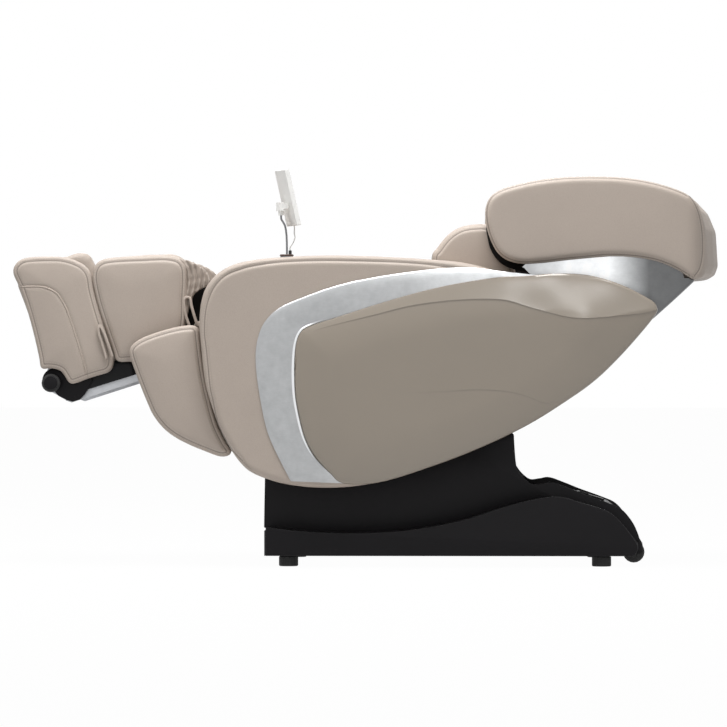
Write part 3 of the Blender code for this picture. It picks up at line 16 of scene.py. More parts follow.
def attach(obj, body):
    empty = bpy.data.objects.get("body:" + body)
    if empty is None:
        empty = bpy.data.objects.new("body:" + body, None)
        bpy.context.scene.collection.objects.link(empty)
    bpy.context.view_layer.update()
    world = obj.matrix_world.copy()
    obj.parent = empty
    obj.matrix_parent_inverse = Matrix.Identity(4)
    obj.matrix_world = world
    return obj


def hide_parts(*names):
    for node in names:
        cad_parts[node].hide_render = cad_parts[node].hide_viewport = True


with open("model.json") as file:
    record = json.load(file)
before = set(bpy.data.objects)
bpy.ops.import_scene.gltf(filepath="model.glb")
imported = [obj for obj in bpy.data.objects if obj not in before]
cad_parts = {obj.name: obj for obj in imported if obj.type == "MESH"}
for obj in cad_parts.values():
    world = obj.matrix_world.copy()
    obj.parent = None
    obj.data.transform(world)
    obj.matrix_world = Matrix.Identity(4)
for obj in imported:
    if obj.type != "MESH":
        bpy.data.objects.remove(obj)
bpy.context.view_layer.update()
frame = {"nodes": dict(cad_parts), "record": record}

bl_info = {
    "name": "Massage chair upholstery",
    "version": (1, 0, 0),
    "blender": (4, 5, 0),
    "location": "View3D > Sidebar > Massage chair",
    "description": "Builds the chair's pads, shells, trim, finishes, lights and camera",
    "category": "Object",
}

# Places across the chair, from the middle plane
LEG_INNER, LEG_OUTER = 0.222, 0.262
ARM_INNER, ARM_BODY_OUTER, ARM_OUTER = 0.272, 0.350, 0.3853
SHELL_INNER, SHELL_OUTER = 0.3856, 0.4003
CHANNEL_INNER, CHANNEL_OUTER = 0.252, 0.336
KNEE_INNER, KNEE_OUTER = 0.285, 0.330
HOOD_INNER, HOOD_OUTER = 0.280, 0.350
SHOULDER_INNER, SHOULDER_OUTER = 0.2005, 0.268

BACK_PIVOT = (0.060, 0.400)
BACK_ANGLE = math.radians(24.0)
CUSHION_HALF_WIDTH, LINING_HALF_WIDTH = 0.2015, 0.272
LINING_ALONG, LINING_TOP, LINING_OUT = (0.400, 0.825), 0.7275, (0.0855, 0.104)
WAIST_ROLL_RADIUS, WAIST_ROLL_HALF_WIDTH = 0.040, 0.195

# Side-view outlines in millimetres (x, z)
ARM_OUTLINE = [
    (-414, 600), (-410, 654), (-396, 696), (-366, 730), (-324, 752), (-263, 764), (-165, 771),
    (-66, 773), (57, 769), (155, 763), (234, 756), (303, 740), (350, 722), (392, 680), (415, 600),
    (416, 500), (408, 420), (385, 352), (278, 295), (155, 248), (32, 211), (-79, 197), (-189, 204),
    (-275, 230), (-317, 265), (-356, 329), (-386, 408), (-401, 469), (-410, 550)]
ARM_BODY_OUTLINE = ARM_OUTLINE[:12] + [
    (345, 715), (372, 660), (380, 580), (378, 480), (360, 390), (318, 322), (240, 281)] + ARM_OUTLINE[19:]
FOREARM_CHANNEL = [(-300, 640), (-270, 690), (-100, 698), (100, 694), (150, 650), (110, 600), (-100, 590),
                   (-270, 595)]
TRIM_OUTER_EDGE = [
    (424, 723), (386, 727), (326, 734), (277, 741), (203, 741), (130, 734), (56, 724), (-17, 711),
    (-90, 692), (-164, 665), (-213, 643), (-245, 615), (-264, 580), (-273, 530), (-269, 465), (-252, 367),
    (-232, 306), (-186, 214)]
TRIM_INNER_EDGE = [
    (-57, 209), (-90, 235), (-127, 276), (-152, 325), (-166, 379), (-174, 428), (-176, 489),
    (-173, 545), (-163, 578), (-140, 596), (-66, 621), (-17, 637), (56, 660), (130, 681),
    (203, 698), (277, 711), (338, 719), (386, 720), (424, 722)]
KNEE_OUTLINE = [
    (-588, 530), (-581, 550), (-558, 566), (-524, 579), (-487, 590), (-455, 596), (-433, 597),
    (-421, 588), (-416, 551), (-406, 477), (-391, 410), (-375, 353), (-355, 311), (-340, 284),
    (-362, 276), (-400, 289), (-437, 304), (-474, 323), (-504, 346), (-529, 378),
    (-544, 410), (-558, 444), (-573, 484)]
CALF_WALL_OUTLINE = [
    (-687, 712), (-685, 738), (-674, 756), (-654, 765), (-617, 769), (-567, 771), (-517, 773),
    (-487, 771), (-467, 763), (-455, 744), (-453, 714), (-455, 664), (-458, 601), (-478, 541),
    (-517, 517), (-592, 513), (-624, 513), (-633, 530), (-645, 564), (-662, 614), (-677, 664)]
FOOT_WALL_OUTLINE = [
    (-884, 730), (-881, 749), (-868, 762), (-847, 768), (-804, 770), (-767, 769), (-737, 762),
    (-709, 747), (-694, 724), (-688, 689), (-676, 644), (-659, 589), (-643, 541), (-638, 512),
    (-647, 488), (-679, 477), (-704, 469), (-740, 457), (-753, 471), (-764, 487), (-780, 494),
    (-802, 496), (-815, 494), (-819, 519), (-832, 576), (-849, 639), (-866, 690)]
HOOD_WING_OUTLINE = [
    (294, 880), (298, 902), (309, 921), (332, 936), (366, 947), (415, 958), (477, 966), (551, 969),
    (625, 967), (687, 959), (737, 947), (775, 933), (800, 922), (800, 720), (786, 727), (768, 738),
    (745, 749), (712, 760), (663, 768), (601, 771), (551, 767), (490, 761), (440, 755), (394, 752),
    (362, 757), (337, 769), (319, 789), (304, 822), (296, 853)]
SHOULDER_OUTLINE = [
    (163, 767), (176, 791), (194, 815), (214, 833), (239, 845), (271, 850), (300, 849), (335, 833),
    (358, 795), (366, 740), (368, 680), (352, 630), (310, 600), (255, 590), (205, 612), (174, 675)]
HOOD_CORNER = [(775, 934), (797, 923), (812, 910), (822, 897), (834, 871), (844, 834), (850, 800),
               (851, 768), (847, 742), (838, 724), (824, 713), (808, 713), (790, 725)]

# The side shell's top edge, creases and lower edge, each from its front tip to its rear tip
SHELL_TOP = [(-176, 489), (-173, 545), (-163, 578), (-140, 596), (-66, 621), (-17, 637), (56, 660),
             (130, 681), (203, 698), (277, 711), (338, 719), (392, 721), (462, 727), (524, 726),
             (573, 718), (634, 698), (684, 673), (712, 655), (720, 638)]
SHELL_CREASE = [(-176, 489), (-169, 538), (-156, 568), (-130, 586), (-60, 606), (30, 628), (104, 647),
                (178, 658), (251, 664), (325, 664), (362, 658), (399, 646), (449, 632), (498, 620),
                (535, 617), (572, 618), (621, 623), (680, 629), (720, 638)]
SHELL_LOWER_CREASE = [(-176, 489), (-150, 460), (-60, 440), (60, 434), (177, 436), (275, 441),
                      (350, 436), (399, 424), (449, 407), (510, 430), (580, 480), (650, 553), (720, 638)]
SHELL_BOTTOM = [(-176, 489), (-174, 428), (-166, 379), (-152, 325), (-127, 276), (-90, 235), (-57, 209),
                (32, 211), (155, 248), (278, 295), (401, 354), (511, 423), (570, 467), (622, 517),
                (670, 570), (711, 620), (720, 638)]

FOLD_OUTLINE = [(-470, 764), (-458, 765), (-442, 760), (-424, 751), (-408, 739), (-397, 722), (-395, 706),
                (-404, 698), (-420, 690), (-434, 678), (-443, 660), (-450, 630), (-456, 600),
                (-468, 600), (-472, 680)]
# A near-black sheet in the knee opening: painted shade where the opening's inside lies in deep shadow
KNEE_SHADE_SHEET = [(-462, 690), (-430, 690), (-400, 700), (-384, 690), (-380, 640), (-386, 600), (-410, 590),
               (-462, 590)]
REAR_STRAP = [(-443, 594), (-451, 614), (-457, 639), (-458, 664), (-451, 671), (-443, 667), (-440, 649),
              (-433, 624), (-424, 597)]
FRONT_STRAP = [(-651, 517), (-661, 551), (-671, 584), (-669, 601), (-661, 590), (-649, 559), (-636, 522)]
FOOT_WHEEL = (-0.793, 0.456)
WHEEL_COVER_CENTRE = (-0.786, 0.462)
WHEEL_COVER_RADIUS = 0.031
WEB_COVER = [(-0.757, 0.486), (-0.700, 0.490), (-0.690, 0.462), (-0.710, 0.428), (-0.722, 0.415),
             (-0.740, 0.409), (-0.757, 0.4135), (-0.777, 0.424), (-0.790, 0.440)]

# The base's side panels: stretches of curve with corners between them
DECK_SIDE = [[(-258, 95), (-257, 160), (-255, 262)],
             [(-240, 268), (120, 268), (240, 280), (300, 306), (358, 334)],
             [(366, 328), (368, 291), (372, 250), (379, 234), (393, 217), (412, 204), (436, 206),
              (462, 209), (502, 195), (542, 179), (600, 158), (634, 142), (660, 112), (674, 84), (681, 62)],
             [(640, 66), (600, 95), (462, 150), (331, 128), (182, 90), (-42, 72), (-166, 76)]]
SKIRT_SIDE = [[(-251, 27), (-251, 99)],
              [(-246, 99), (-166, 89), (-42, 84), (82, 89), (182, 104), (256, 121), (331, 146),
               (405, 166), (462, 175), (495, 172), (529, 161), (579, 146), (609, 132), (641, 99),
               (672, 54), (666, 30)],
              [(660, 27), (600, 27)]]
# A near-black sheet behind the hood wing's lower front edge: painted shadow in the gap to the shoulder pad
HOOD_SHADE_SHEET = [(310, 880), (297, 850), (301, 815), (309, 787), (327, 761), (355, 743), (406, 731),
              (444, 727), (470, 745), (430, 800), (350, 870)]
HOOD_REAR_SEAM = [(797, 924), (812, 902), (824, 872), (831, 835), (833, 800), (831, 765), (824, 738),
                  (812, 722)]

FOOT_WELT = [(-868, 697), (-838, 698), (-808, 696), (-790, 689), (-776, 680), (-767, 667), (-753, 643),
             (-739, 604), (-725, 561), (-711, 513), (-702, 480)]
ROLL_SEAM = [(280, 727), (230, 738), (150, 750), (57, 756), (-60, 759), (-130, 759), (-186, 757),
             (-235, 753), (-285, 745), (-310, 738), (-335, 729), (-355, 717), (-375, 695), (-390, 663),
             (-398, 626), (-400, 581), (-396, 545), (-391, 496), (-386, 446), (-378, 409), (-371, 372),
             (-362, 345), (-335, 296), (-310, 268)]

# The remote on its stand, in metres
REMOTE = Vector((-0.2125, -0.330, 0.0))
REMOTE_TURN = math.radians(20.0)
REMOTE_TILT = math.radians(13.0)
HINGE_HEIGHT = 0.895
PLUG_X = -0.190
PLUG_TOP = 0.7853
CABLE_RADIUS = 0.0014
TABLET_REACH, TABLET_THICKNESS, TABLET_RISE = 0.0165, 0.012, 0.0215
SCREEN_WIDTH, SCREEN_HEIGHT, SCREEN_CORNER = 0.075, 0.130, 0.006
SCREEN_BACK, SCREEN_FACE = -0.0004, 0.0009
FLANGE_X, FLANGE_HEIGHT = -0.1985, 0.7738
FLANGE_RING_RADIUS, FLANGE_RING_THICKNESS = 0.0150, 0.0024
# Where the lead leaves the tablet, from its hinge, and the lead's points below the tablet:
# x, how far inward of the stand, and rise over the plug
LEAD_EXIT_OUT, LEAD_EXIT_DOWN = 0.006, 0.050
LEAD_POINTS = [(-0.1800, 0.009, 0.0434), (-0.1785, 0.008, 0.0324), (-0.1835, 0.004, 0.0184),
               (PLUG_X, 0.0, 0.0084), (PLUG_X, 0.0, 0.0003)]

# The bend of the hood's rear corners
HOOD_BACK_X, HOOD_BACK_DEPTH, HOOD_BACK_ROUNDNESS = 0.790, 0.094, 2.5
HOOD_CORNER_FROM, HOOD_CORNER_TO = (737, 947), (768, 738)

# The hood's rim, its seams' inset and rear end, how far its back leans, and its wings' swell
HOOD_RIM, HOOD_SEAM_INSET, HOOD_SEAM_END = 0.012, 0.0045, 0.795
HOOD_LEAN, HOOD_SWELL = 0.050, 0.0015

# Small pieces beside the cushions: distances of their faces from the middle plane, and sizes
FOLD_INNER, FOLD_OUTER, FOLD_VOXEL = 0.226, 0.256, 0.0025
# Faces of the knee opening's painted-shade sheet
KNEE_SHADE_SHEET_INNER, KNEE_SHADE_SHEET_OUTER = 0.205, 0.216
COVER_INNER, COVER_OUTER = 0.2035, 0.2265
CAP_INNER, CAP_OUTER, CAP_RADIUS = 0.2560, 0.2630, 0.0170
# Faces of the hood's painted-shadow sheet
HOOD_SHADE_SHEET_INNER, HOOD_SHADE_SHEET_OUTER = 0.2715, 0.2785
# Straps: name, path, inner and outer distance, thickness
STRAPS = (("rear_strap", REAR_STRAP, 0.247, 0.262, 0.0068),
          ("front_strap", FRONT_STRAP, 0.267, 0.279, 0.0056))
# Base panels: name, stretches of outline, inner and outer distance
BASE_PANELS = (("deck_side", DECK_SIDE, 0.2622, 0.2665), ("skirt_side", SKIRT_SIDE, 0.3302, 0.3345))

# Seams: how deep and how wide a crease is
SEAM_CREASE, WELT_CREASE, ROLL_CREASE = (0.0012, 0.0035), (0.002, 0.004), (0.0022, 0.004)
PIPING_STEP, PIPING_LIFT = 0.006, 0.0002
SWELL_REACH = 0.08

# How far the base cover's rear wall and rear end are drawn forward
DECK_WALL_SHIFT, DECK_REAR_SHIFT = 0.016, 0.020

# The trim across its width: share of the width, height over the shell's plane
TRIM_PROFILE = [(0.0, 0.0), (0.0, 0.0035), (0.03, 0.0052), (0.09, 0.0064), (0.22, 0.0078),
                (0.40, 0.0086), (0.60, 0.0086), (0.78, 0.0080), (0.90, 0.0072), (0.925, 0.0074),
                (0.94, 0.0090), (0.965, 0.0096), (0.985, 0.0085), (1.0, 0.0060), (1.0, 0.0)]
TRIM_COLUMNS, TRIM_CROWN, TRIM_FALL, TRIM_END = 150, 0.0086, 0.0030, 0.42

# The side shell's face: rows between two paths, the scoop's centre and length, then heights
SHELL_ROWS = 20
SCOOP = (0.535, 0.066)
SHELL_CROWN, SCOOP_RIDGE, CREASE_DROP, SCOOP_DROP = 0.007, 0.006, 0.0048, 0.0083
SHELL_RIM, SHELL_LEAST = 0.005, 0.0012

# Painted highlight and shade on the silver, lighter or darker from front to rear: (x, tone)
TRIM_PAINTED_LIGHT = [(-0.28, 0.92), (-0.12, 0.88), (0.10, 1.08), (0.28, 1.85)]
BACK_SHELL_PAINTED_LIGHT = [(0.40, 1.10), (0.50, 2.1), (0.60, 2.15), (0.65, 1.05), (0.70, 0.32), (0.80, 0.28)]

# Limits of the mesh work and of the cloth simulation
MERGE_DISTANCE = 0.00002
POINTS_AT_ONCE = 4000
CLOTH_FRAMES, CLOTH_PRESSURE = 20, 4.0

# The stage, and its lamps: name, place, aim, width, height and power
WHITE = (1.0, 1.0, 1.0, 1.0)
FLOOR_SIZE, FLOOR_MIDDLE = 60.0, (0.0, 12.0, -0.0005)
FLOOR_GREY, FLOOR_WHITE_SHARE, STUDIO_LEVEL = 0.64, 0.98, 0.235
LAMPS = (
    ("top_light", (-0.4, -1.0, 4.0), (0.0, 0.0, 0.4), 3.5, 2.5, 252.0),
    ("front_light", (-2.2, -5.0, 3.4), (0.0, 0.0, 0.5), 2.5, 2.0, 5.0),
    ("side_light", (3.4, -4.0, 3.0), (0.2, 0.0, 0.5), 2.0, 2.0, 4.0),
    ("scoop_light", (0.66, -4.25, 2.5), (0.52, -0.39, 0.64), 0.5, 0.8, 11.0),
    ("far_light", (-1.5, 5.0, 3.4), (0.0, 0.0, 0.5), 2.5, 2.0, 22.0),
    ("far_scoop_light", (0.66, 4.25, 2.5), (0.52, 0.39, 0.64), 0.5, 0.8, 11.0))

# The camera's place along the chair, and the point that it looks at (x, y)
CAMERA_X = 0.29
CAMERA_AIM = (-0.0085, -0.30)


# Sizes and colours that a user would change

class ChairSizes(bpy.types.PropertyGroup):
    """Sizes of the upholstery, shells and picture."""

    pad_voxel: FloatProperty(
        name="Pad mesh", description="Edge length of the pads' mesh", default=0.005, min=0.002,
        unit="LENGTH")
    shell_columns: IntProperty(
        name="Shell columns", description="Points along the side shell", default=300, min=40)
    pad_swell: FloatProperty(
        name="Pad swell", description="How far a side pad stands out in its middle", default=0.007,
        unit="LENGTH")
    pad_fullness: FloatProperty(
        name="Pad fullness", description="How far a pad's rim stands past its outline before it is relaxed",
        default=0.003, unit="LENGTH")
    piping_radius: FloatProperty(
        name="Piping", description="Radius of the piping cord in the seams", default=0.0021, unit="LENGTH")
    seam_inset: FloatProperty(
        name="Seam inset", description="How far the seams lie inside a pad's edge", default=0.009,
        unit="LENGTH")
    stitch_pitch: FloatProperty(
        name="Stitch", description="Length of one stitch and its gap", default=0.0065, unit="LENGTH")
    cushion_voxel: FloatProperty(
        name="Cushion mesh", description="Edge length of the cushions while they swell", default=0.0095,
        min=0.005, unit="LENGTH")
    camera_distance: FloatProperty(
        name="Camera distance", description="From the lens to the chair's middle plane", default=12.0,
        unit="LENGTH")
    camera_height: FloatProperty(
        name="Camera height", description="Height of the lens above the floor", default=0.505,
        unit="LENGTH")
    camera_lens: FloatProperty(
        name="Lens", description="Focal length in millimetres", default=232.8)


class ChairColours(bpy.types.PropertyGroup):
    """Colours of the finishes, as linear values."""

    leather: FloatVectorProperty(
        name="Leather", description="Upholstery leather", subtype="COLOR", size=3,
        default=(0.432, 0.368, 0.318))
    side_paint: FloatVectorProperty(
        name="Side paint", description="Satin paint of the side shells", subtype="COLOR", size=3,
        default=(0.228, 0.192, 0.150))
    silver: FloatVectorProperty(
        name="Silver", description="Silver trim and back shell", subtype="COLOR", size=3,
        default=(0.46, 0.468, 0.475))
    black: FloatVectorProperty(
        name="Black", description="Base mouldings", subtype="COLOR", size=3,
        default=(0.0064, 0.0058, 0.0068))
    cream: FloatVectorProperty(
        name="Cream", description="Remote", subtype="COLOR", size=3, default=(0.90, 0.895, 0.87))


def sizes():
    return bpy.context.scene.chair_sizes


def colours():
    return bpy.context.scene.chair_colours


# Outlines

def metres(points):
    return [(x / 1000.0, z / 1000.0) for x, z in points]


def curved(points, steps=4, closed=True):
    """Points on a Catmull-Rom curve through the given ones, with extra points between each two."""
    count = len(points)
    result = []
    for i in range(count if closed else count - 1):
        places = [i + k for k in (-1, 0, 1, 2)]
        near = [points[place % count if closed else min(max(place, 0), count - 1)] for place in places]
        for step in range(steps):
            t = step / steps
            result.append(tuple(
                0.5 * (2 * b + (c - a) * t + (2 * a - 5 * b + 4 * c - d) * t * t
                       + (3 * b - a - 3 * c + d) * t ** 3)
                for a, b, c, d in zip(*near)))
    if not closed:
        result.append(tuple(points[-1]))
    return result


def outline_of(points):
    """A smooth closed outline in metres, through points in millimetres."""
    return curved(metres(points))


def path_of(points, steps=4):
    """A smooth open path in metres, through points in millimetres."""
    return curved(metres(points), steps, closed=False)


def on_circle(centre, radius, turns):
    """Points of a circle at the given turns, in radians."""
    x, z = centre
    return [(x + radius * math.cos(turn), z + radius * math.sin(turn)) for turn in turns]


def full_turn(count):
    return np.linspace(0.0, 2.0 * math.pi, count, endpoint=False)


def ramp(values, start, length):
    """0 up to a start, then rising to 1 over a length. A negative length rises the other way."""
    return np.clip((values - start) / length, 0.0, 1.0)


def hump(values, centre, width):
    """1 at a centre, falling to 0 on both sides of it."""
    return np.exp(-((values - centre) / width) ** 2)


def evenly(points, count):
    """The same path with a given number of points at even steps along it."""
    path = np.array(points, float)
    run = np.concatenate([[0.0], np.cumsum(np.linalg.norm(np.diff(path, axis=0), axis=1))])
    return [tuple(np.interp(place, run, path[:, axis]) for axis in range(path.shape[1]))
            for place in np.linspace(0.0, run[-1], count)]


def nearest(points, path, closed):
    """For (x, z) points: the signed distance to a path, and how far along it the nearest place is."""
    start = np.array(path, float)
    end = np.roll(start, -1, axis=0)
    if not closed:
        start, end = start[:-1], end[:-1]
    span = end - start
    square = np.maximum((span ** 2).sum(1), 1e-12)
    run = np.concatenate([[0.0], np.cumsum(np.sqrt(square))])[:-1]
    distance, along = np.empty(len(points)), np.empty(len(points))
    for first in range(0, len(points), POINTS_AT_ONCE):
        block = slice(first, first + POINTS_AT_ONCE)
        offset = points[block][:, None, :] - start[None]
        share = np.clip((offset * span[None]).sum(2) / square, 0.0, 1.0)
        squares = ((offset - share[..., None] * span[None]) ** 2).sum(2)
        best = squares.argmin(1)
        rows = np.arange(len(best))
        turn = span[best, 0] * offset[rows, best, 1] - span[best, 1] * offset[rows, best, 0]
        distance[block] = np.sqrt(squares[rows, best]) * np.where(turn < 0, -1.0, 1.0)
        along[block] = run[best] + share[rows, best] * np.sqrt(square[best])
    return distance, along


def winding(path):
    """1 for an outline drawn anticlockwise, and -1 for one drawn clockwise."""
    area = (path[:, 0] * np.roll(path[:, 1], -1) - path[:, 1] * np.roll(path[:, 0], -1)).sum()
    return 1.0 if area > 0 else -1.0


def square_to(direction):
    """Unit vectors square to a path's directions, on their left."""
    unit = direction / np.maximum(np.linalg.norm(direction, axis=1), 1e-9)[:, None]
    return np.stack([-unit[:, 1], unit[:, 0]], axis=1)


def inward(points, outline):
    """How far (x, z) points lie inside a closed outline, and how far along it."""
    distance, along = nearest(points, outline, True)
    return distance * winding(np.array(outline)), along


def offset_inside(outline, inset):
    """A closed outline drawn in by a distance."""
    path = np.array(outline)
    normal = square_to(np.roll(path, -1, axis=0) - np.roll(path, 1, axis=0))
    inner = path + normal * (inset * winding(path))
    depth, _ = inward(inner, outline)
    return [tuple(point) for point, reach in zip(inner, depth) if reach > inset - 0.07 * abs(inset)]


def back_point(along, out):
    """A point in the side view, from its place along the reclined back and square to it."""
    return (BACK_PIVOT[0] + along * math.cos(BACK_ANGLE) - out * math.sin(BACK_ANGLE),
            BACK_PIVOT[1] + along * math.sin(BACK_ANGLE) + out * math.cos(BACK_ANGLE))


def back_box(first, last, low, high):
    """A box in the side view, set along the reclined back."""
    corners = ((first, low), (last, low), (last, high), (first, high))
    return [back_point(along, out) for along, out in corners]


# Mesh work, with Blender's own operators

def deselect():
    for item in list(bpy.context.selected_objects):
        item.select_set(False)


def activate(piece):
    deselect()
    piece.select_set(True)
    bpy.context.view_layer.objects.active = piece


def edit(piece, *steps):
    """Run edit-mode steps on all of a piece."""
    activate(piece)
    bpy.ops.object.mode_set(mode="EDIT")
    bpy.ops.mesh.select_all(action="SELECT")
    for step in steps:
        step()
    bpy.ops.object.mode_set(mode="OBJECT")


def outward_faces():
    bpy.ops.mesh.select_all(action="SELECT")
    bpy.ops.mesh.normals_make_consistent(inside=False)


def apply_modifier(piece, kind, **settings):
    activate(piece)
    modifier = piece.modifiers.new(kind.title(), kind)
    for key, value in settings.items():
        setattr(modifier, key, value)
    bpy.ops.object.modifier_apply(modifier=modifier.name)


def points_of(piece):
    places = np.empty(len(piece.data.vertices) * 3)
    piece.data.vertices.foreach_get("co", places)
    return places.reshape(-1, 3)


def set_points(piece, places):
    piece.data.vertices.foreach_set("co", np.ascontiguousarray(places, float).ravel())
    piece.data.update()


def just_made(name):
    """The object that an operator has just added, with its name given."""
    piece = bpy.context.object
    piece.name = piece.data.name = name
    return piece


def slab(name, outline, inner, outer):
    """A side-view outline drawn out across the chair."""
    deselect()
    bpy.ops.mesh.primitive_circle_add(vertices=len(outline), radius=0.5, fill_type="NGON")
    piece = just_made(name)
    set_points(piece, [(x, inner, z) for x, z in outline])
    edit(piece,
         lambda: bpy.ops.mesh.extrude_region_move(
             TRANSFORM_OT_translate={"value": (0.0, outer - inner, 0.0)}),
         outward_faces)
    return piece


def sheet(name, rows):
    """A sheet of faces over rows of 3D points."""
    deselect()
    bpy.ops.mesh.primitive_grid_add(x_subdivisions=len(rows[0]) - 1, y_subdivisions=len(rows) - 1,
                                    size=1.0)
    piece = just_made(name)
    set_points(piece, [point for row in rows for point in row])
    return piece


def merge_close():
    bpy.ops.mesh.remove_doubles(threshold=MERGE_DISTANCE)


def copy_of_node(node, name):
    """A CAD node's mesh as a new object, with its loose triangles joined."""
    deselect()
    piece = frame["nodes"][node].copy()
    piece.data = frame["nodes"][node].data.copy()
    for key in list(piece.keys()):
        del piece[key]
    piece.parent = None
    piece.name = piece.data.name = name
    piece.data.materials.clear()
    bpy.context.scene.collection.objects.link(piece)
    edit(piece, merge_close, outward_faces)
    return piece


def joined(name, *parts):
    deselect()
    for part in parts:
        part.select_set(True)
    bpy.context.view_layer.objects.active = parts[0]
    bpy.ops.object.join()
    parts[0].name = parts[0].data.name = name
    return parts[0]


def strip(name, route, thickness, inner, outer):
    """A flat strap: its side-view path made thick, drawn out across the chair."""
    path = np.array(path_of(route))
    normal = square_to(np.gradient(path, axis=0)) * thickness / 2
    outline = [tuple(point) for point in np.concatenate([path + normal, (path - normal)[::-1]])]
    piece = slab(name, outline, inner, outer)
    round_rim(piece, thickness * 0.3, 2)
    shade(piece, 50)
    return piece


def lofted(name, paths, rows):
    """A sheet over side-view paths of equal length, with its rows closer together near each path."""
    grid = [paths[0]]
    for first, second in zip(paths, paths[1:]):
        for row in range(1, rows + 1):
            share = 0.5 - 0.5 * math.cos(math.pi * row / rows)
            grid.append([(x0 + (x1 - x0) * share, z0 + (z1 - z0) * share)
                         for (x0, z0), (x1, z1) in zip(first, second)])
    return sheet(name, [[(x, 0.0, z) for x, z in row] for row in grid])


def close_back(piece, base):
    """Draw a sheet's edge back to a plane across the chair, and close it there."""
    edit(piece,
         merge_close,
         lambda: bpy.ops.mesh.select_all(action="DESELECT"),
         lambda: bpy.ops.mesh.select_non_manifold(),
         lambda: bpy.ops.mesh.extrude_region_move(),
         lambda: bpy.ops.transform.resize(value=(1.0, 0.0, 1.0), center_override=(0.0, base, 0.0)),
         lambda: bpy.ops.mesh.edge_face_add(),
         outward_faces)


def soft_cushion(node, name, body, cap, fill=0.7):
    """A CAD cushion's form swelled with Cloth and subdivided, in the cushion's place."""
    cushion = copy_of_node(node, name)
    remesh(cushion, sizes().cushion_voxel)
    inflate(cushion, CLOTH_PRESSURE, cap)
    apply_modifier(cushion, "SUBSURF", levels=1)
    relax(cushion, 2)
    shade_unsewn(cushion)
    place(cushion, body, "leather", leather(), node, fill=fill)


def cut_with(piece, tool):
    apply_modifier(piece, "BOOLEAN", operation="DIFFERENCE", object=tool)
    bpy.data.objects.remove(tool, do_unlink=True)


def round_rim(piece, width, segments=4, angle=50.0):
    apply_modifier(piece, "BEVEL", width=width, segments=segments, limit_method="ANGLE",
                   angle_limit=math.radians(angle))


def remesh(piece, size):
    apply_modifier(piece, "REMESH", mode="VOXEL", voxel_size=size)


def relax(piece, passes, factor=0.5):
    apply_modifier(piece, "SMOOTH", factor=factor, iterations=passes)


def shade(piece, sharp_over=None):
    """Shade smooth, keeping edges sharper than an angle in degrees."""
    activate(piece)
    if sharp_over is None:
        bpy.ops.object.shade_smooth()
    else:
        bpy.ops.object.shade_smooth_by_angle(angle=math.radians(sharp_over))


def swell_side(piece, outline, inner, outer, depth, reach):
    """Push the outward face out inside its outline, more towards its middle."""
    places = points_of(piece)
    inside, _ = inward(places[:, (0, 2)], outline)
    side = ramp(places[:, 1], inner, outer - inner) ** 2
    places[:, 1] += math.copysign(depth, outer) * (1.0 - (1.0 - ramp(inside, 0.0, reach)) ** 2) * side
    set_points(piece, places)


def crease_along(piece, path, closed, depth, width, outer, keep=0.55):
    """Draw the face in along a seam's path, where it stands out past a share of the outer face."""
    places = points_of(piece)
    distance, _ = nearest(places[:, (0, 2)], path, closed)
    side = np.clip(places[:, 1] / outer, 0.0, 1.2) > keep
    places[:, 1] -= math.copysign(depth, outer) * hump(distance, 0.0, width) * side
    set_points(piece, places)


def float_attribute(piece, name, values):
    attribute = piece.data.attributes.get(name) or piece.data.attributes.new(name, "FLOAT", "POINT")
    attribute.data.foreach_set("value", np.ascontiguousarray(values, np.float32))


def mark_seam(piece, slot, path, closed):
    """Keep how far each point lies from a seam, and how far along it, for the leather's shader."""
    distance, along = nearest(points_of(piece)[:, (0, 2)], path, closed)
    float_attribute(piece, f"seam_{slot}", distance)
    float_attribute(piece, f"along_{slot}", along)


def no_seam(piece, *slots):
    count = len(piece.data.vertices)
    for slot in slots:
        float_attribute(piece, f"seam_{slot}", np.full(count, 1.0))
        float_attribute(piece, f"along_{slot}", np.zeros(count))


def shade_unsewn(piece):
    """Shade a leather piece that has no seams."""
    no_seam(piece, "a", "b")
    shade(piece)


def inflate(piece, pressure, cap):
    """Swell a remeshed pad with Cloth, and limit how far each point moves."""
    rest = points_of(piece)
    cloth = piece.modifiers.new("Cloth", "CLOTH")
    cloth.settings.use_pressure = True
    cloth.settings.uniform_pressure_force = pressure
    cloth.settings.quality = 4
    cloth.settings.effector_weights.gravity = 0.0
    cloth.collision_settings.use_collision = False
    cloth.point_cache.frame_start = 1
    cloth.point_cache.frame_end = CLOTH_FRAMES
    for step in range(1, CLOTH_FRAMES + 1):
        bpy.context.scene.frame_set(step)
    activate(piece)
    bpy.ops.object.modifier_apply(modifier=cloth.name)
    bpy.context.scene.frame_set(1)
    moved = points_of(piece) - rest
    length = np.maximum(np.linalg.norm(moved, axis=1), 1e-9)[:, None]
    set_points(piece, rest + moved * np.minimum(1.0, cap / length))


def mirrored(piece, name):
    """The same piece on the other side of the chair, with its own mesh."""
    twin = piece.copy()
    twin.data = piece.data.copy()
    twin.name = twin.data.name = name
    bpy.context.scene.collection.objects.link(twin)
    twin.data.transform(Matrix.Scale(-1.0, 4, (0.0, 1.0, 0.0)))
    twin.data.flip_normals()
    return twin


def tube(name, route, radius, closed=False, sides=3):
    """A round cord along 3D points, as a closed mesh."""
    curve = bpy.data.curves.new(name, "CURVE")
    curve.dimensions = "3D"
    curve.bevel_depth = radius
    curve.bevel_resolution = sides
    curve.use_fill_caps = not closed
    spline = curve.splines.new("POLY")
    spline.points.add(len(route) - 1)
    spline.use_cyclic_u = closed
    for point, place in zip(spline.points, route):
        point.co = (*place, 1.0)
    piece = bpy.data.objects.new(name, curve)
    bpy.context.scene.collection.objects.link(piece)
    activate(piece)
    bpy.ops.object.convert(target="MESH")
    piece = bpy.context.object
    edit(piece, merge_close, outward_faces)
    shade(piece)
    return piece


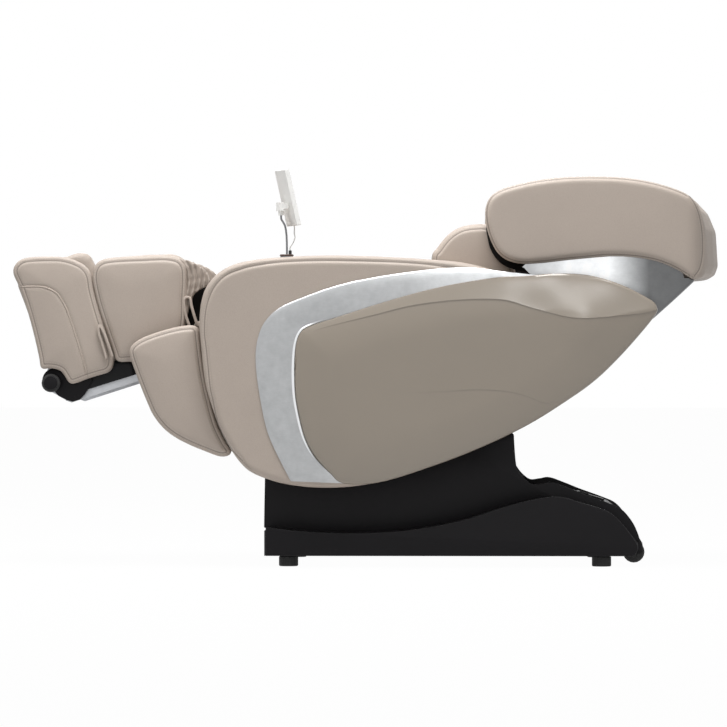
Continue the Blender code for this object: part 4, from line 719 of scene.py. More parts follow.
def on_left_face(piece, path, lift):
    """Points of a side-view path laid on the outward face of a left-hand piece."""
    result = []
    for x, z in path:
        hit, place, _, _ = piece.ray_cast((x, -0.6, z), (0.0, 1.0, 0.0))
        if hit:
            result.append((x, place.y - lift, z))
    if len(result) < 3:
        raise RuntimeError(f"{piece.name}: no face under its piping")
    return result


def piping(name, piece, path):
    """A piping cord laid in an open seam on a left-hand piece."""
    total = sum(math.dist(a, b) for a, b in zip(path, path[1:]))
    route = evenly(path, max(12, int(total / PIPING_STEP)))
    return tube(name, on_left_face(piece, route, PIPING_LIFT), sizes().piping_radius, sides=2)


def place(piece, body, slot_name, finish, *nodes, fill=None):
    """Give a finished piece its material and body, and hide the CAD nodes that it stands for."""
    piece.data.materials.clear()
    piece.data.materials.append(finish)
    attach(piece, body)
    if nodes:
        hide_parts(*nodes)
    return piece


def both_sides(piece, stem, body, slot_name, finish, *stems, fill=None):
    """Place a left-hand piece and its mirror image. {side} in a body's name stands for l or r."""
    right = mirrored(piece, f"{stem}_r")
    piece.name = piece.data.name = f"{stem}_l"
    for made, suffix in ((piece, "l"), (right, "r")):
        place(made, body.format(side=suffix), slot_name, finish,
              *[f"{node}_{suffix}" for node in stems], fill=fill)


def moulded_sides(stem, body, outline, inner, outer, rim, segments=2, sharp_over=None, finish=None):
    """A plain panel on both sides of the chair, moulded in black unless a finish is given."""
    panel = slab(f"{stem}_l", outline, -inner, -outer)
    round_rim(panel, rim, segments)
    shade(panel, sharp_over)
    both_sides(panel, stem, body, "black_plastic", finish or finish_named("black_plastic"))


# Node groups, each giving colours, masks or heights

def add_node(tree, kind, settings=None, **inputs):
    made = tree.nodes.new(kind)
    for key, value in (settings or {}).items():
        setattr(made, key, value)
    return feed_node(tree, made, **inputs)


def noise(tree, places, scale=1.0, detail=2.0, roughness=0.5):
    return add_node(tree, "ShaderNodeTexNoise", Vector=places, Scale=scale, Detail=detail,
                    Roughness=roughness)


def attribute(tree, name):
    return signal(add_node(tree, "ShaderNodeAttribute", {"attribute_name": name}), "Fac")


def feed(tree, socket, value):
    """Link a signal or an output to a socket, or set the socket's value."""
    if isinstance(value, Signal):
        value = value.socket
    if isinstance(value, bpy.types.NodeSocket):
        tree.links.new(value, socket)
    else:
        socket.default_value = value


def feed_node(tree, node, **inputs):
    """Feed a node's inputs by name, with underscores for the spaces in a name."""
    for key, value in inputs.items():
        feed(tree, node.inputs[key.replace("_", " ")], value)
    return node


def maths(tree, operation, *values):
    made = tree.nodes.new("ShaderNodeMath")
    made.operation = operation
    for socket, value in zip(made.inputs, values):
        feed(tree, socket, value)
    return Signal(made.outputs[0])


class Signal:
    """A value in a node tree. Sums and products of signals add maths nodes to the tree."""

    def __init__(self, socket):
        self.socket = socket

    def maths(self, operation, *others):
        return maths(self.socket.id_data, operation, self, *others)

    def clamped(self):
        self.socket.node.use_clamp = True
        return self

    def __add__(self, other):
        return self.maths("ADD", other)

    def __radd__(self, other):
        return maths(self.socket.id_data, "ADD", other, self)

    def __sub__(self, other):
        return self.maths("SUBTRACT", other)

    def __rsub__(self, other):
        return maths(self.socket.id_data, "SUBTRACT", other, self)

    def __mul__(self, other):
        return self.maths("MULTIPLY", other)

    def __truediv__(self, other):
        return self.maths("DIVIDE", other)

    def __rtruediv__(self, other):
        return maths(self.socket.id_data, "DIVIDE", other, self)


def signal(node, label=0):
    """A node's output as a signal."""
    return Signal(node.outputs[label])


def mix_colours(tree, share, first, second):
    made = tree.nodes.new("ShaderNodeMix")
    made.data_type = "RGBA"
    for index, value in ((0, share), (6, first), (7, second)):
        feed(tree, made.inputs[index], value)
    return made.outputs[2]


def mix_shaders(tree, share, first, second, sink):
    """Mix two shaders into the tree's output node."""
    mixed = add_node(tree, "ShaderNodeMixShader", Fac=share)
    tree.links.new(first.outputs[0], mixed.inputs[1])
    tree.links.new(second.outputs[0], mixed.inputs[2])
    tree.links.new(mixed.outputs[0], tree.nodes[sink].inputs["Surface"])


def new_group(name, inputs, outputs):
    found = bpy.data.node_groups.get(name)
    if found:
        return found, None, None
    group = bpy.data.node_groups.new(name, "ShaderNodeTree")
    for label, value in inputs:
        socket = group.interface.new_socket(label, in_out="INPUT", socket_type="NodeSocketFloat")
        socket.default_value = value
    for label in outputs:
        group.interface.new_socket(label, in_out="OUTPUT", socket_type="NodeSocketFloat")
    return group, group.nodes.new("NodeGroupInput"), group.nodes.new("NodeGroupOutput")


def object_places(tree, size):
    """Object coordinates divided by a size, so that a pattern has that size in metres."""
    coordinates = tree.nodes.new("ShaderNodeTexCoord")
    scaled = add_node(tree, "ShaderNodeVectorMath", {"operation": "SCALE"},
                      Scale=maths(tree, "DIVIDE", 1.0, size))
    tree.links.new(coordinates.outputs["Object"], scaled.inputs[0])
    return scaled.outputs[0]


def grain_group():
    """Pebbled leather grain: raised cells with pores between them, and fine wrinkles."""
    group, source, sink = new_group("LeatherGrain", [("Size", 0.0022), ("Wrinkle", 0.35)],
                                    ["Height", "Pores"])
    if source:
        places = object_places(group, signal(source, "Size"))
        shifted = add_node(group, "ShaderNodeVectorMath", {"operation": "MULTIPLY_ADD"})
        bent = signal(noise(group, places, 0.7), "Color")
        for socket, value in zip(shifted.inputs, (bent, (0.6, 0.6, 0.6), places)):
            feed(group, socket, value)
        cells = add_node(group, "ShaderNodeTexVoronoi", {"feature": "DISTANCE_TO_EDGE"},
                         Vector=shifted.outputs[0], Scale=1.0)
        raised = signal(cells, "Distance").maths("SMOOTH_MIN", 0.32, 0.15)
        lines = noise(group, places, 0.16, 5.0, 0.6)
        feed_node(group, sink,
                  Height=raised * 3.0 + signal(lines, "Fac") * signal(source, "Wrinkle"),
                  Pores=(1.0 - raised * 4.0).clamped())
    return group


def drift_group():
    """Slow changes of tone over a surface."""
    group, source, sink = new_group("ToneDrift", [("Size", 0.2), ("Contrast", 2.0)], ["Mask"])
    if source:
        drift = noise(group, object_places(group, signal(source, "Size")), 1.0, 4.0, 0.55)
        centred = signal(drift, "Fac") - 0.5
        feed_node(group, sink, Mask=(centred * signal(source, "Contrast") + 0.5).clamped())
    return group


def seam_group():
    """Sewn seams read from the piece's own attributes: the line, the stitches and the dip."""
    group, source, sink = new_group("SewnSeam", [("Width", 0.0014), ("Pitch", 0.0065), ("Stitches", 1.0)],
                                    ["Line", "Thread", "Dip"])
    if source:
        parts = []
        for slot in ("a", "b"):
            share = attribute(group, f"seam_{slot}").maths("ABSOLUTE") / signal(source, "Width")
            dip = ((share / 3.0).maths("POWER", 2.0) * -1.0).maths("EXPONENT")
            on_row = (share - 2.6).maths("ABSOLUTE").maths("LESS_THAN", 0.55)
            run = attribute(group, f"along_{slot}") / signal(source, "Pitch")
            dash = run.maths("FRACT").maths("LESS_THAN", 0.66)
            parts.append(((1.0 - share).clamped(), on_row * dash * signal(source, "Stitches"), dip))
        for label, first, second in zip(("Line", "Thread", "Dip"), *parts):
            feed(group, sink.inputs[label], first.maths("MAXIMUM", second))
    return group


def brushed_group():
    """Mottled, lightly brushed metal paint."""
    group, source, sink = new_group("BrushedMottle", [("Size", 0.02)], ["Mottle", "Brush"])
    if source:
        blotch = noise(group, object_places(group, signal(source, "Size")), 1.0, 6.0, 0.65)
        stretched = add_node(group, "ShaderNodeMapping", {"vector_type": "POINT"},
                             Vector=object_places(group, 0.0012), Scale=(0.06, 1.0, 1.0))
        brush = noise(group, stretched.outputs[0])
        feed_node(group, sink, Mottle=signal(blotch, "Fac"), Brush=signal(brush, "Fac"))
    return group


def place_group(tree, group, **inputs):
    return add_node(tree, "ShaderNodeGroup", {"node_tree": group}, **inputs)


def drift_mask(tree, size, contrast):
    return signal(place_group(tree, drift_group(), Size=size, Contrast=contrast), "Mask")


# Materials

def new_material(name, roughness, metallic=0.0, coat=0.0, coat_roughness=0.3, specular=0.5):
    found = bpy.data.materials.get(name)
    if found:
        return found, None, None
    material = bpy.data.materials.new(name)
    material.use_nodes = True
    tree = material.node_tree
    shader = feed_node(tree, tree.nodes["Principled BSDF"], Roughness=roughness, Metallic=metallic,
                       Coat_Weight=coat, Coat_Roughness=coat_roughness, Specular_IOR_Level=specular)
    return material, tree, shader


def scaled(colour, share):
    return (*[channel * share for channel in colour], 1.0)


def dress(tree, shader, colour, roughness, height, distance):
    """Feed a shader its colour and roughness, and bump it by a height."""
    bump = add_node(tree, "ShaderNodeBump", Height=height, Distance=distance, Strength=1.0)
    feed_node(tree, shader, Base_Color=colour, Roughness=roughness, Normal=bump.outputs["Normal"])


def leather(name="TaupeLeather", tone=1.0, wrinkle=0.35):
    material, tree, shader = new_material(name, 0.45, specular=0.42)
    if not tree:
        return material
    colour = [channel * tone for channel in colours().leather]
    grain = place_group(tree, grain_group(), Wrinkle=wrinkle)
    drift = drift_mask(tree, 0.16, 1.6)
    seam = place_group(tree, seam_group(), Pitch=sizes().stitch_pitch)
    pores = signal(grain, "Pores")
    base = mix_colours(tree, drift, scaled(colour, 0.955), scaled(colour, 1.04))
    for share, level in ((pores * 0.22, 0.62), (signal(seam, "Thread") * 0.55, 1.3),
                         (signal(seam, "Line") * 0.85, 0.22)):
        base = mix_colours(tree, share, base, scaled(colour, level))
    dress(tree, shader, base, pores * 0.16 + (drift * 0.07 + 0.39),
          signal(grain, "Height") * 0.11 - signal(seam, "Dip") * 0.9, 0.0016)
    return material


def painted(name, colour, roughness, coat=0.0, peel=0.02, drift_size=0.3, contrast=1.0, spread=0.04,
            specular=0.5):
    """Smooth paint or moulded plastic, with a faint orange peel and tone drift."""
    material, tree, shader = new_material(name, roughness, 0.0, coat, 0.2, specular)
    if not tree:
        return material
    drift = drift_mask(tree, drift_size, contrast)
    base = mix_colours(tree, drift, scaled(colour, 1.0 - spread), scaled(colour, 1.0 + spread))
    dress(tree, shader, base, (roughness - 0.03) + drift * 0.06, drift_mask(tree, 0.0016, 1.0),
          peel * 0.01)
    return material


def silver_paint(name, stops):
    """Mottled silver that grows lighter or darker from front to rear as painted highlight and shade, with a
    painted highlight on the lip: stops are (x in metres, tone).
    """
    material, tree, shader = new_material(name, 0.30, 0.92, 0.2, 0.15)
    if not tree:
        return material
    places = add_node(tree, "ShaderNodeTexCoord")
    axes = add_node(tree, "ShaderNodeSeparateXYZ", Vector=places.outputs["Object"])
    # The tone along x paints highlight and shade into the silver's colour
    tone = stops[0][1]
    for (x0, first), (x1, second) in zip(stops, stops[1:]):
        share = ((signal(axes, "X") - x0) / (x1 - x0)).clamped()
        tone = share.maths("MULTIPLY_ADD", second - first, tone)
    brushed = place_group(tree, brushed_group(), Size=0.030)
    mottle, brush = signal(brushed, "Mottle"), signal(brushed, "Brush")
    level = mottle.maths("MULTIPLY_ADD", 0.46, 0.77) * brush.maths("MULTIPLY_ADD", 0.12, 0.94) * tone
    # A painted highlight on the trim's inner lip, read from the lip attribute
    level = level.maths("MAXIMUM", attribute(tree, "lip") * 1.75)
    shaded = add_node(tree, "ShaderNodeVectorMath", {"operation": "SCALE"}, Scale=level)
    shaded.inputs[0].default_value = list(colours().silver)
    dress(tree, shader, shaded.outputs[0], mottle.maths("MULTIPLY_ADD", -0.12, 0.38), brush, 0.00006)
    return material


def steel(name, colour, roughness, metallic, fleck=0.0, specular=0.5):
    """Zinc plate, chrome or powder coat, with fine flecks and duller patches."""
    material, tree, shader = new_material(name, roughness, metallic, specular=specular)
    if not tree:
        return material
    drift, fine = drift_mask(tree, 0.03, 2.0), drift_mask(tree, 0.0009, 2.5)
    base = mix_colours(tree, drift, scaled(colour, 0.85), scaled(colour, 1.15))
    base = mix_colours(tree, fine * fleck, base, scaled(colour, 1.5))
    dress(tree, shader, base, drift.maths("MULTIPLY_ADD", 0.14, roughness - 0.07), fine, 0.00012)
    return material


# Near-black cloth for the sheets that stand in for shade: painted shade
def shade_sheet_cloth():
    return painted("PaintedShadeCloth", (0.012, 0.011, 0.011), 0.9, peel=0.1, specular=0.1)


def finish_named(slot_name):
    """The material of each of the record's slots."""
    shades = colours()
    makers = {
        "leather": leather,
        "side_plastic": lambda: painted("SatinSidePaint", shades.side_paint, 0.34, coat=1.0),
        "silver": lambda: silver_paint("SilverTrim", TRIM_PAINTED_LIGHT),
        "black_plastic": lambda: painted("BlackMoulding", shades.black, 0.42, peel=0.03, drift_size=0.1,
                                         contrast=2.0, spread=0.12, specular=0.14),
        "black_steel": lambda: steel("PowderCoat", (0.009, 0.009, 0.010), 0.46, 0.0, 0.3, 0.18),
        "zinc_steel": lambda: steel("ZincSteel", (0.50, 0.51, 0.53), 0.34, 0.9, 0.1),
        "rubber": lambda: painted("BlackRubber", (0.018, 0.018, 0.018), 0.72, peel=0.05,
                                  drift_size=0.05, contrast=2.0, spread=0.2),
        "cream_plastic": lambda: painted("CreamPlastic", shades.cream, 0.34, coat=0.1, peel=0.01),
        "cable_grey": lambda: painted("CableSheath", (0.62, 0.62, 0.60), 0.45, peel=0.01),
    }
    return makers[slot_name]()


# Pieces, one operator for each group

class PieceOperator(bpy.types.Operator):
    """Shared options of the chair's operators."""

    bl_options = {"REGISTER", "UNDO"}


class CHAIR_OT_camera(PieceOperator):
    """Set the camera square to the chair's left side, at the photograph's distance and height"""

    bl_idname = "chair.camera"
    bl_label = "Camera"

    def execute(self, context):
        data = bpy.data.cameras.new("side_camera")
        data.lens = sizes().camera_lens
        data.sensor_width = 36.0
        camera = bpy.data.objects.new("side_camera", data)
        camera.location = (CAMERA_X, -sizes().camera_distance, sizes().camera_height)
        turn = math.atan2(CAMERA_X - CAMERA_AIM[0], sizes().camera_distance + CAMERA_AIM[1])
        camera.rotation_euler = (math.radians(90.0), 0.0, turn)
        context.scene.collection.objects.link(camera)
        context.scene.camera = camera
        return {"FINISHED"}


def cable_route():
    """The remote's lead, from the tablet's lower edge down to its plug in the stand's flange."""
    sine, cosine = math.sin(REMOTE_TILT), math.cos(REMOTE_TILT)
    reach = TABLET_REACH + LEAD_EXIT_OUT * cosine + LEAD_EXIT_DOWN * sine
    start = Vector((REMOTE.x + reach * math.cos(REMOTE_TURN), REMOTE.y + reach * math.sin(REMOTE_TURN),
                    HINGE_HEIGHT - LEAD_EXIT_DOWN * cosine + LEAD_EXIT_OUT * sine))
    down = Vector((sine * math.cos(REMOTE_TURN), sine * math.sin(REMOTE_TURN), -cosine))
    hanging = [(x, REMOTE.y + aside, PLUG_TOP + rise) for x, aside, rise in LEAD_POINTS]
    return curved([tuple(start + down * 0.0005), tuple(start + down * 0.006)] + hanging, closed=False)


class CHAIR_OT_cable(PieceOperator):
    """Lay the remote's thin lead from the tablet down to its plug"""

    bl_idname = "chair.cable"
    bl_label = "Remote lead"

    def execute(self, context):
        route = cable_route()
        lead = tube("remote_lead", route, CABLE_RADIUS, sides=4)
        place(lead, "neck", "cable_grey", finish_named("cable_grey"), "tablet_cable")
        return {"FINISHED"}


def side_pad(name, outline, inner, outer, rim, swell=None):
    """A padded side wall: rounded, remeshed and swelled. It is made on the left."""
    piece = slab(name, offset_inside(outline, -sizes().pad_fullness), -inner, -outer)
    round_rim(piece, rim)
    remesh(piece, sizes().pad_voxel)
    swell_side(piece, outline, -inner, -outer, swell or sizes().pad_swell, SWELL_REACH)
    relax(piece, 4)
    return piece


def seamed_sides(stem, body, node, outline, inner, outer, rim, inset, creased=True, swell=None):
    """A padded wall with a sewn seam inside its edge, on both sides of the chair."""
    pad = side_pad(f"{stem}_l", outline, inner, outer, rim, swell)
    seam = offset_inside(outline, inset)
    if creased:
        crease_along(pad, seam, True, *SEAM_CREASE, -outer)
    mark_seam(pad, "a", seam, True)
    no_seam(pad, "b")
    shade(pad)
    both_sides(pad, stem, body, "leather", leather(), node, fill=0.8)


class CHAIR_OT_legrest(PieceOperator):
    """Pad the calf walls, the calf trough and the knee folds"""

    bl_idname = "chair.legrest"
    bl_label = "Legrest"

    def execute(self, context):
        wall = outline_of(CALF_WALL_OUTLINE)
        seamed_sides("calf_side", "leg", "calf_wall", wall, LEG_INNER, LEG_OUTER, 0.013,
                     sizes().seam_inset)
        soft_cushion("calf_pad", "calf_trough", "leg", 0.006, 0.6)

        fold = slab("knee_fold_l", outline_of(FOLD_OUTLINE), -FOLD_INNER, -FOLD_OUTER)
        round_rim(fold, 0.006, 2)
        remesh(fold, FOLD_VOXEL)
        pleat_fold(fold, wall)
        relax(fold, 1)
        shade_unsewn(fold)
        both_sides(fold, "knee_fold", "leg", "leather", leather("FoldLeather", 0.92, 0.8), "knee_gusset",
                   fill=0.2)

        # A near-black sheet stands in for the deep shade inside the knee opening: painted shade
        moulded_sides("knee_shade_sheet", "leg", outline_of(KNEE_SHADE_SHEET), KNEE_SHADE_SHEET_INNER, KNEE_SHADE_SHEET_OUTER,
                      0.004, finish=shade_sheet_cloth())
        for name, route, inner, outer, thickness in STRAPS:
            strap = strip(f"{name}_l", route, thickness, -inner, -outer)
            no_seam(strap, "a", "b")
            both_sides(strap, name, "leg", "leather", leather("StrapLeather", 1.05, 0.3))
        return {"FINISHED"}


def pleat_fold(piece, wall):
    """Soft pleats like a bellows, which follow the edge of the calf wall and fall away from it."""
    pitch, depth, crumple_depth = 0.0125, 0.0085, 0.0012
    places = points_of(piece)
    inside, along = inward(places[:, (0, 2)], wall)
    away = np.clip(-inside, 0.0, None)
    wave = np.abs(np.sin(away * math.pi / pitch + 0.5 + 0.8 * np.sin(along * 55.0)))
    crumple = np.sin(along * 210.0 + away * 300.0) * np.sin(along * 90.0 - away * 240.0)
    side = ramp(-places[:, 1], 0.232, 0.016)
    places[:, 1] += side * (depth * (1.0 - wave) - crumple_depth * crumple + 0.10 * away)
    places[:, 2] += 0.0015 * (wave - 0.5) * ramp(places[:, 2], 0.72, 0.03)
    set_points(piece, places)


class CHAIR_OT_footrest(PieceOperator):
    """Pad the foot boots' walls and trough, with the piped seam down the near side"""

    bl_idname = "chair.footrest"
    bl_label = "Footrest"

    def execute(self, context):
        outline = outline_of(FOOT_WALL_OUTLINE)
        wall = side_pad("foot_side_l", outline, LEG_INNER, LEG_OUTER, 0.012)
        welt = path_of(FOOT_WELT)
        crease_along(wall, welt, False, *WELT_CREASE, -LEG_OUTER)
        mark_seam(wall, "a", offset_inside(outline, 0.008), True)
        mark_seam(wall, "b", welt, False)
        shade(wall)
        cord = piping("foot_welt_l", wall, welt)
        both_sides(wall, "foot_side", "foot", "leather", leather(), "foot_wall", fill=0.8)
        no_seam(cord, "a", "b")
        both_sides(cord, "foot_welt", "foot", "leather", leather("WeltLeather", 1.08, 0.1))
        soft_cushion("foot_pad", "foot_trough", "foot", 0.006, 0.6)

        arc = on_circle(WHEEL_COVER_CENTRE, WHEEL_COVER_RADIUS, np.radians(np.linspace(180.0, 30.0, 21)))
        moulded_sides("wheel_cover", "foot", arc + WEB_COVER, COVER_INNER, COVER_OUTER, 0.002,
                      sharp_over=40)
        moulded_sides("wheel_cap", "foot_wheel_{side}", on_circle(FOOT_WHEEL, CAP_RADIUS, full_turn(40)),
                      CAP_INNER, CAP_OUTER, 0.0012, sharp_over=40)
        return {"FINISHED"}


class CHAIR_OT_arms(PieceOperator):
    """Upholster the arms, with the forearm channel, the rolled edge and the knee panels"""

    bl_idname = "chair.arms"
    bl_label = "Arms"

    def execute(self, context):
        core = slab("arm_core", outline_of(ARM_BODY_OUTLINE), -ARM_INNER, -ARM_BODY_OUTER)
        cut_with(core, slab("channel", outline_of(FOREARM_CHANNEL), -CHANNEL_INNER, -CHANNEL_OUTER))
        round_rim(core, 0.010, 3)
        cover = slab("arm_cover", outline_of(ARM_OUTLINE), -ARM_BODY_OUTER, -ARM_OUTER)
        round_rim(cover, 0.016)
        arm = joined("arm_side_l", cover, core)
        remesh(arm, sizes().pad_voxel)
        relax(arm, 5)
        roll = path_of(ROLL_SEAM)
        mark_seam(arm, "a", roll, False)
        crease_along(arm, roll, False, *ROLL_CREASE, -ARM_OUTER, 0.9)
        no_seam(arm, "b")
        shade(arm)
        both_sides(arm, "arm_side", "seat", "leather", leather(), "arm_cover", "arm_body", fill=0.9)
        seamed_sides("knee_side", "seat", "knee_panel", outline_of(KNEE_OUTLINE), KNEE_INNER, KNEE_OUTER,
                     0.013, 0.007)
        return {"FINISHED"}


class CHAIR_OT_trim(PieceOperator):
    """Sweep the crowned silver trim round the side shell, with its inner lip, which has a painted highlight
    """

    bl_idname = "chair.trim"
    bl_label = "Silver trim"

    def execute(self, context):
        outer = evenly(path_of(TRIM_OUTER_EDGE), TRIM_COLUMNS)
        inner = evenly(path_of(TRIM_INNER_EDGE[::-1]), TRIM_COLUMNS)
        band = ribbon("arm_trim_l", outer, inner, TRIM_PROFILE, -SHELL_INNER)
        places = points_of(band)
        shares = np.repeat([share for share, _ in TRIM_PROFILE], TRIM_COLUMNS)
        upright = ramp(places[:, 0], -0.10, -0.05)
        # The lip attribute masks a painted highlight on the trim's inner edge, towards the front
        float_attribute(band, "lip", upright * ramp(shares, 0.90, 0.02))
        height = -SHELL_INNER - places[:, 1]
        flat = np.minimum(height, TRIM_CROWN - TRIM_FALL * ramp(shares, 0.60, 0.40) ** 2)
        places[:, 1] = -SHELL_INNER - (upright * height + (1.0 - upright) * flat)
        set_points(band, places)
        both_sides(band, "trim", "seat", "silver", finish_named("silver"), "arm_trim")
        return {"FINISHED"}


def ribbon(name, first, second, profile, base):
    """A band between two side-view paths: profile gives the share across it and the height off base."""
    rows = []
    for share, height in profile:
        rows.append([])
        for (x0, z0), (x1, z1) in zip(first, second):
            rise = min(height, 0.35 * math.dist((x0, z0), (x1, z1)) + 0.0005)
            rows[-1].append((x0 + (x1 - x0) * share, base + math.copysign(rise, base),
                             z0 + (z1 - z0) * share))
    piece = sheet(name, rows)
    edit(piece,
         lambda: bpy.ops.mesh.select_all(action="DESELECT"),
         lambda: bpy.ops.mesh.select_non_manifold(),
         lambda: bpy.ops.mesh.edge_face_add(),
         outward_faces)
    shade(piece, 50)
    return piece


class CHAIR_OT_side_shells(PieceOperator):
    """Form the satin side shells, with the long crease, the scoop behind it and the lower crease"""

    bl_idname = "chair.side_shells"
    bl_label = "Side shells"

    def execute(self, context):
        paths = [path_of(points, 6)
                 for points in (SHELL_TOP, SHELL_CREASE, SHELL_LOWER_CREASE, SHELL_BOTTOM)]
        shell = lofted("side_shell_l", [evenly(path, sizes().shell_columns) for path in paths], SHELL_ROWS)
        sculpt_shell(shell, paths)
        close_back(shell, -SHELL_INNER)
        shade(shell, 60)
        both_sides(shell, "side_panel", "seat", "side_plastic", finish_named("side_plastic"), "side_shell")
        return {"FINISHED"}


def sculpt_shell(piece, paths):
    """Shape the shell's face: it falls back above the crease, most in the scoop, and rolls off below."""
    places = points_of(piece)
    flat = places[:, (0, 2)]
    x = flat[:, 0]
    band = np.arange(len(places)) // sizes().shell_columns
    above_crease, below_crease, below_lower = band < SHELL_ROWS, band > SHELL_ROWS, band > 2 * SHELL_ROWS
    from_crease, from_lower = [np.abs(nearest(flat, path, False)[0]) for path in paths[1:3]]
    inside, _ = inward(flat, paths[0] + paths[3][-2:0:-1])
    fade = ramp(x, -0.13, 0.22) ** 0.7
    scoop = hump(x, *SCOOP)
    height = SHELL_OUTER - SHELL_INNER + SHELL_CROWN * ramp(inside, 0.0, 0.09) ** 0.7
    height += SCOOP_RIDGE * scoop * hump(from_crease, 0.0, 0.070)
    drop, width = fade * (CREASE_DROP + SCOOP_DROP * scoop), 0.040 + 0.040 * scoop
    height -= np.where(above_crease, drop * (1.0 - np.exp(-from_crease / width)), 0.0)
    height -= np.where(below_crease, 0.0016 * fade * np.exp(-from_crease / 0.045), 0.0)
    facet = hump(x, 0.30, 0.13) * np.exp(-from_lower / 0.030)
    height -= np.where(below_lower, 0.0004 * facet, -0.0003 * facet)
    height -= 0.0050 * np.exp(-np.clip(inside, 0.0, None) / 0.030)
    beside_trim = (band <= SHELL_ROWS) & (x < TRIM_END)
    edge = np.where(beside_trim, 0.0, np.clip(SHELL_RIM - inside, 0.0, SHELL_RIM))
    height -= SHELL_RIM - np.sqrt(np.maximum(SHELL_RIM ** 2 - edge ** 2, 0.0))
    places[:, 1] = -SHELL_INNER - np.maximum(height, SHELL_LEAST)
    set_points(piece, places)


class CHAIR_OT_hood(PieceOperator):
    """Upholster the hood as one padded form, with a seam round each wing and one behind it"""

    bl_idname = "chair.hood"
    bl_label = "Hood"

    def execute(self, context):
        start = HOOD_WING_OUTLINE.index(HOOD_CORNER_FROM) + 1
        end = HOOD_WING_OUTLINE.index(HOOD_CORNER_TO)
        outline = outline_of(HOOD_WING_OUTLINE[:start] + HOOD_CORNER + HOOD_WING_OUTLINE[end:])
        left = slab("hood_left", outline, -HOOD_INNER, -HOOD_OUTER)
        round_rim(left, HOOD_RIM)
        remesh(left, sizes().pad_voxel)
        wrap_corner(left)
        right = mirrored(left, "hood_right")
        rear = copy_of_node("hood_back", "hood_rear")
        lean_forward(rear)
        hood = joined("hood", rear, left, right)
        remesh(hood, sizes().pad_voxel)
        for side in (-1, 1):
            swell_wing(hood, outline, side)
        relax(hood, 4)
        mark_seam(hood, "a", wing_seam(outline), False)
        mark_seam(hood, "b", path_of(HOOD_REAR_SEAM), False)
        shade(hood)
        place(hood, "back", "leather", leather(), "hood_wing_l", "hood_wing_r", "hood_back", fill=0.9)
        # A near-black sheet shows the shadow gap between the hood wing and the shoulder pad: painted shadow
        moulded_sides("hood_shade_sheet", "back", outline_of(HOOD_SHADE_SHEET), HOOD_SHADE_SHEET_INNER, HOOD_SHADE_SHEET_OUTER, 0.002,
                      finish=shade_sheet_cloth())
        return {"FINISHED"}


def wing_seam(outline):
    """The seam just inside a wing's edge, from its rear top round the front to its rear bottom."""
    seam = offset_inside(outline, HOOD_SEAM_INSET)
    start = max(range(len(seam)), key=lambda i: seam[i][0])
    ordered = seam[start:] + seam[:start]
    return [point for point in ordered if point[0] < HOOD_SEAM_END]


def lean_forward(piece):
    """Lean the hood's back forward towards its top."""
    places = points_of(piece)
    lean = HOOD_LEAN * ramp(places[:, 2], 0.770, 0.154) ** 2.6
    places[:, 0] -= lean * ramp(places[:, 0], 0.785, 0.030)
    set_points(piece, places)


def wrap_corner(piece):
    """Bend a hood wing's rear corner in round the hood's back."""
    places = points_of(piece)
    share = np.clip((places[:, 0] - HOOD_BACK_X) / HOOD_BACK_DEPTH, 0.0, 0.97)
    places[:, 1] *= (1.0 - share ** HOOD_BACK_ROUNDNESS) ** (1.0 / HOOD_BACK_ROUNDNESS)
    set_points(piece, places)


def swell_wing(piece, outline, side):
    """Swell a hood wing's face a little, less towards its rear."""
    places = points_of(piece)
    inside, _ = inward(places[:, (0, 2)], outline)
    out = ramp(places[:, 1] * side, HOOD_INNER, HOOD_OUTER - HOOD_INNER) ** 2
    full = 1.0 - (1.0 - ramp(inside, 0.0, 0.03)) ** 2
    places[:, 1] += side * HOOD_SWELL * full * out * ramp(places[:, 0], 0.84, -0.10)
    set_points(piece, places)


class CHAIR_OT_back(PieceOperator):
    """Pad the backrest: channelled cushion, shoulder pads, head cushion and head lining"""

    bl_idname = "chair.back"
    bl_label = "Backrest"

    def execute(self, context):
        seamed_sides("shoulder", "back", "shoulder_pad", outline_of(SHOULDER_OUTLINE), SHOULDER_INNER,
                     SHOULDER_OUTER, 0.018, 0.010, creased=False, swell=0.004)
        soft_cushion("back_cushion", "back_rest", "back", 0.006)
        soft_cushion("head_pillow", "head_cushion", "back", 0.010)
        place(head_lining(), "back", "leather", leather(), fill=0.6)
        return {"FINISHED"}


def head_lining():
    """The padded lining round the back cushion's upper part, inside the hood."""
    (first, last), (low, high) = LINING_ALONG, LINING_OUT
    side = slab("lining_left", back_box(first, last, low, high), -CUSHION_HALF_WIDTH, -LINING_HALF_WIDTH)
    other = mirrored(side, "lining_right")
    top = slab("lining_top", back_box(LINING_TOP, last, low - 0.030, high), -LINING_HALF_WIDTH,
               LINING_HALF_WIDTH)
    lining = joined("head_lining", top, side, other)
    remesh(lining, sizes().pad_voxel)
    relax(lining, 6)
    shade_unsewn(lining)
    return lining


class CHAIR_OT_seat(PieceOperator):
    """Pad the seat, with the waist roll that closes the gap to the back"""

    bl_idname = "chair.seat"
    bl_label = "Seat"

    def execute(self, context):
        soft_cushion("seat_cushion", "seat_pad", "seat", 0.006)
        roll = slab("waist_roll", on_circle(BACK_PIVOT, WAIST_ROLL_RADIUS, full_turn(48)),
                    -WAIST_ROLL_HALF_WIDTH, WAIST_ROLL_HALF_WIDTH)
        round_rim(roll, 0.012, 3)
        shade_unsewn(roll)
        place(roll, "seat", "leather", leather(), fill=0.8)
        return {"FINISHED"}


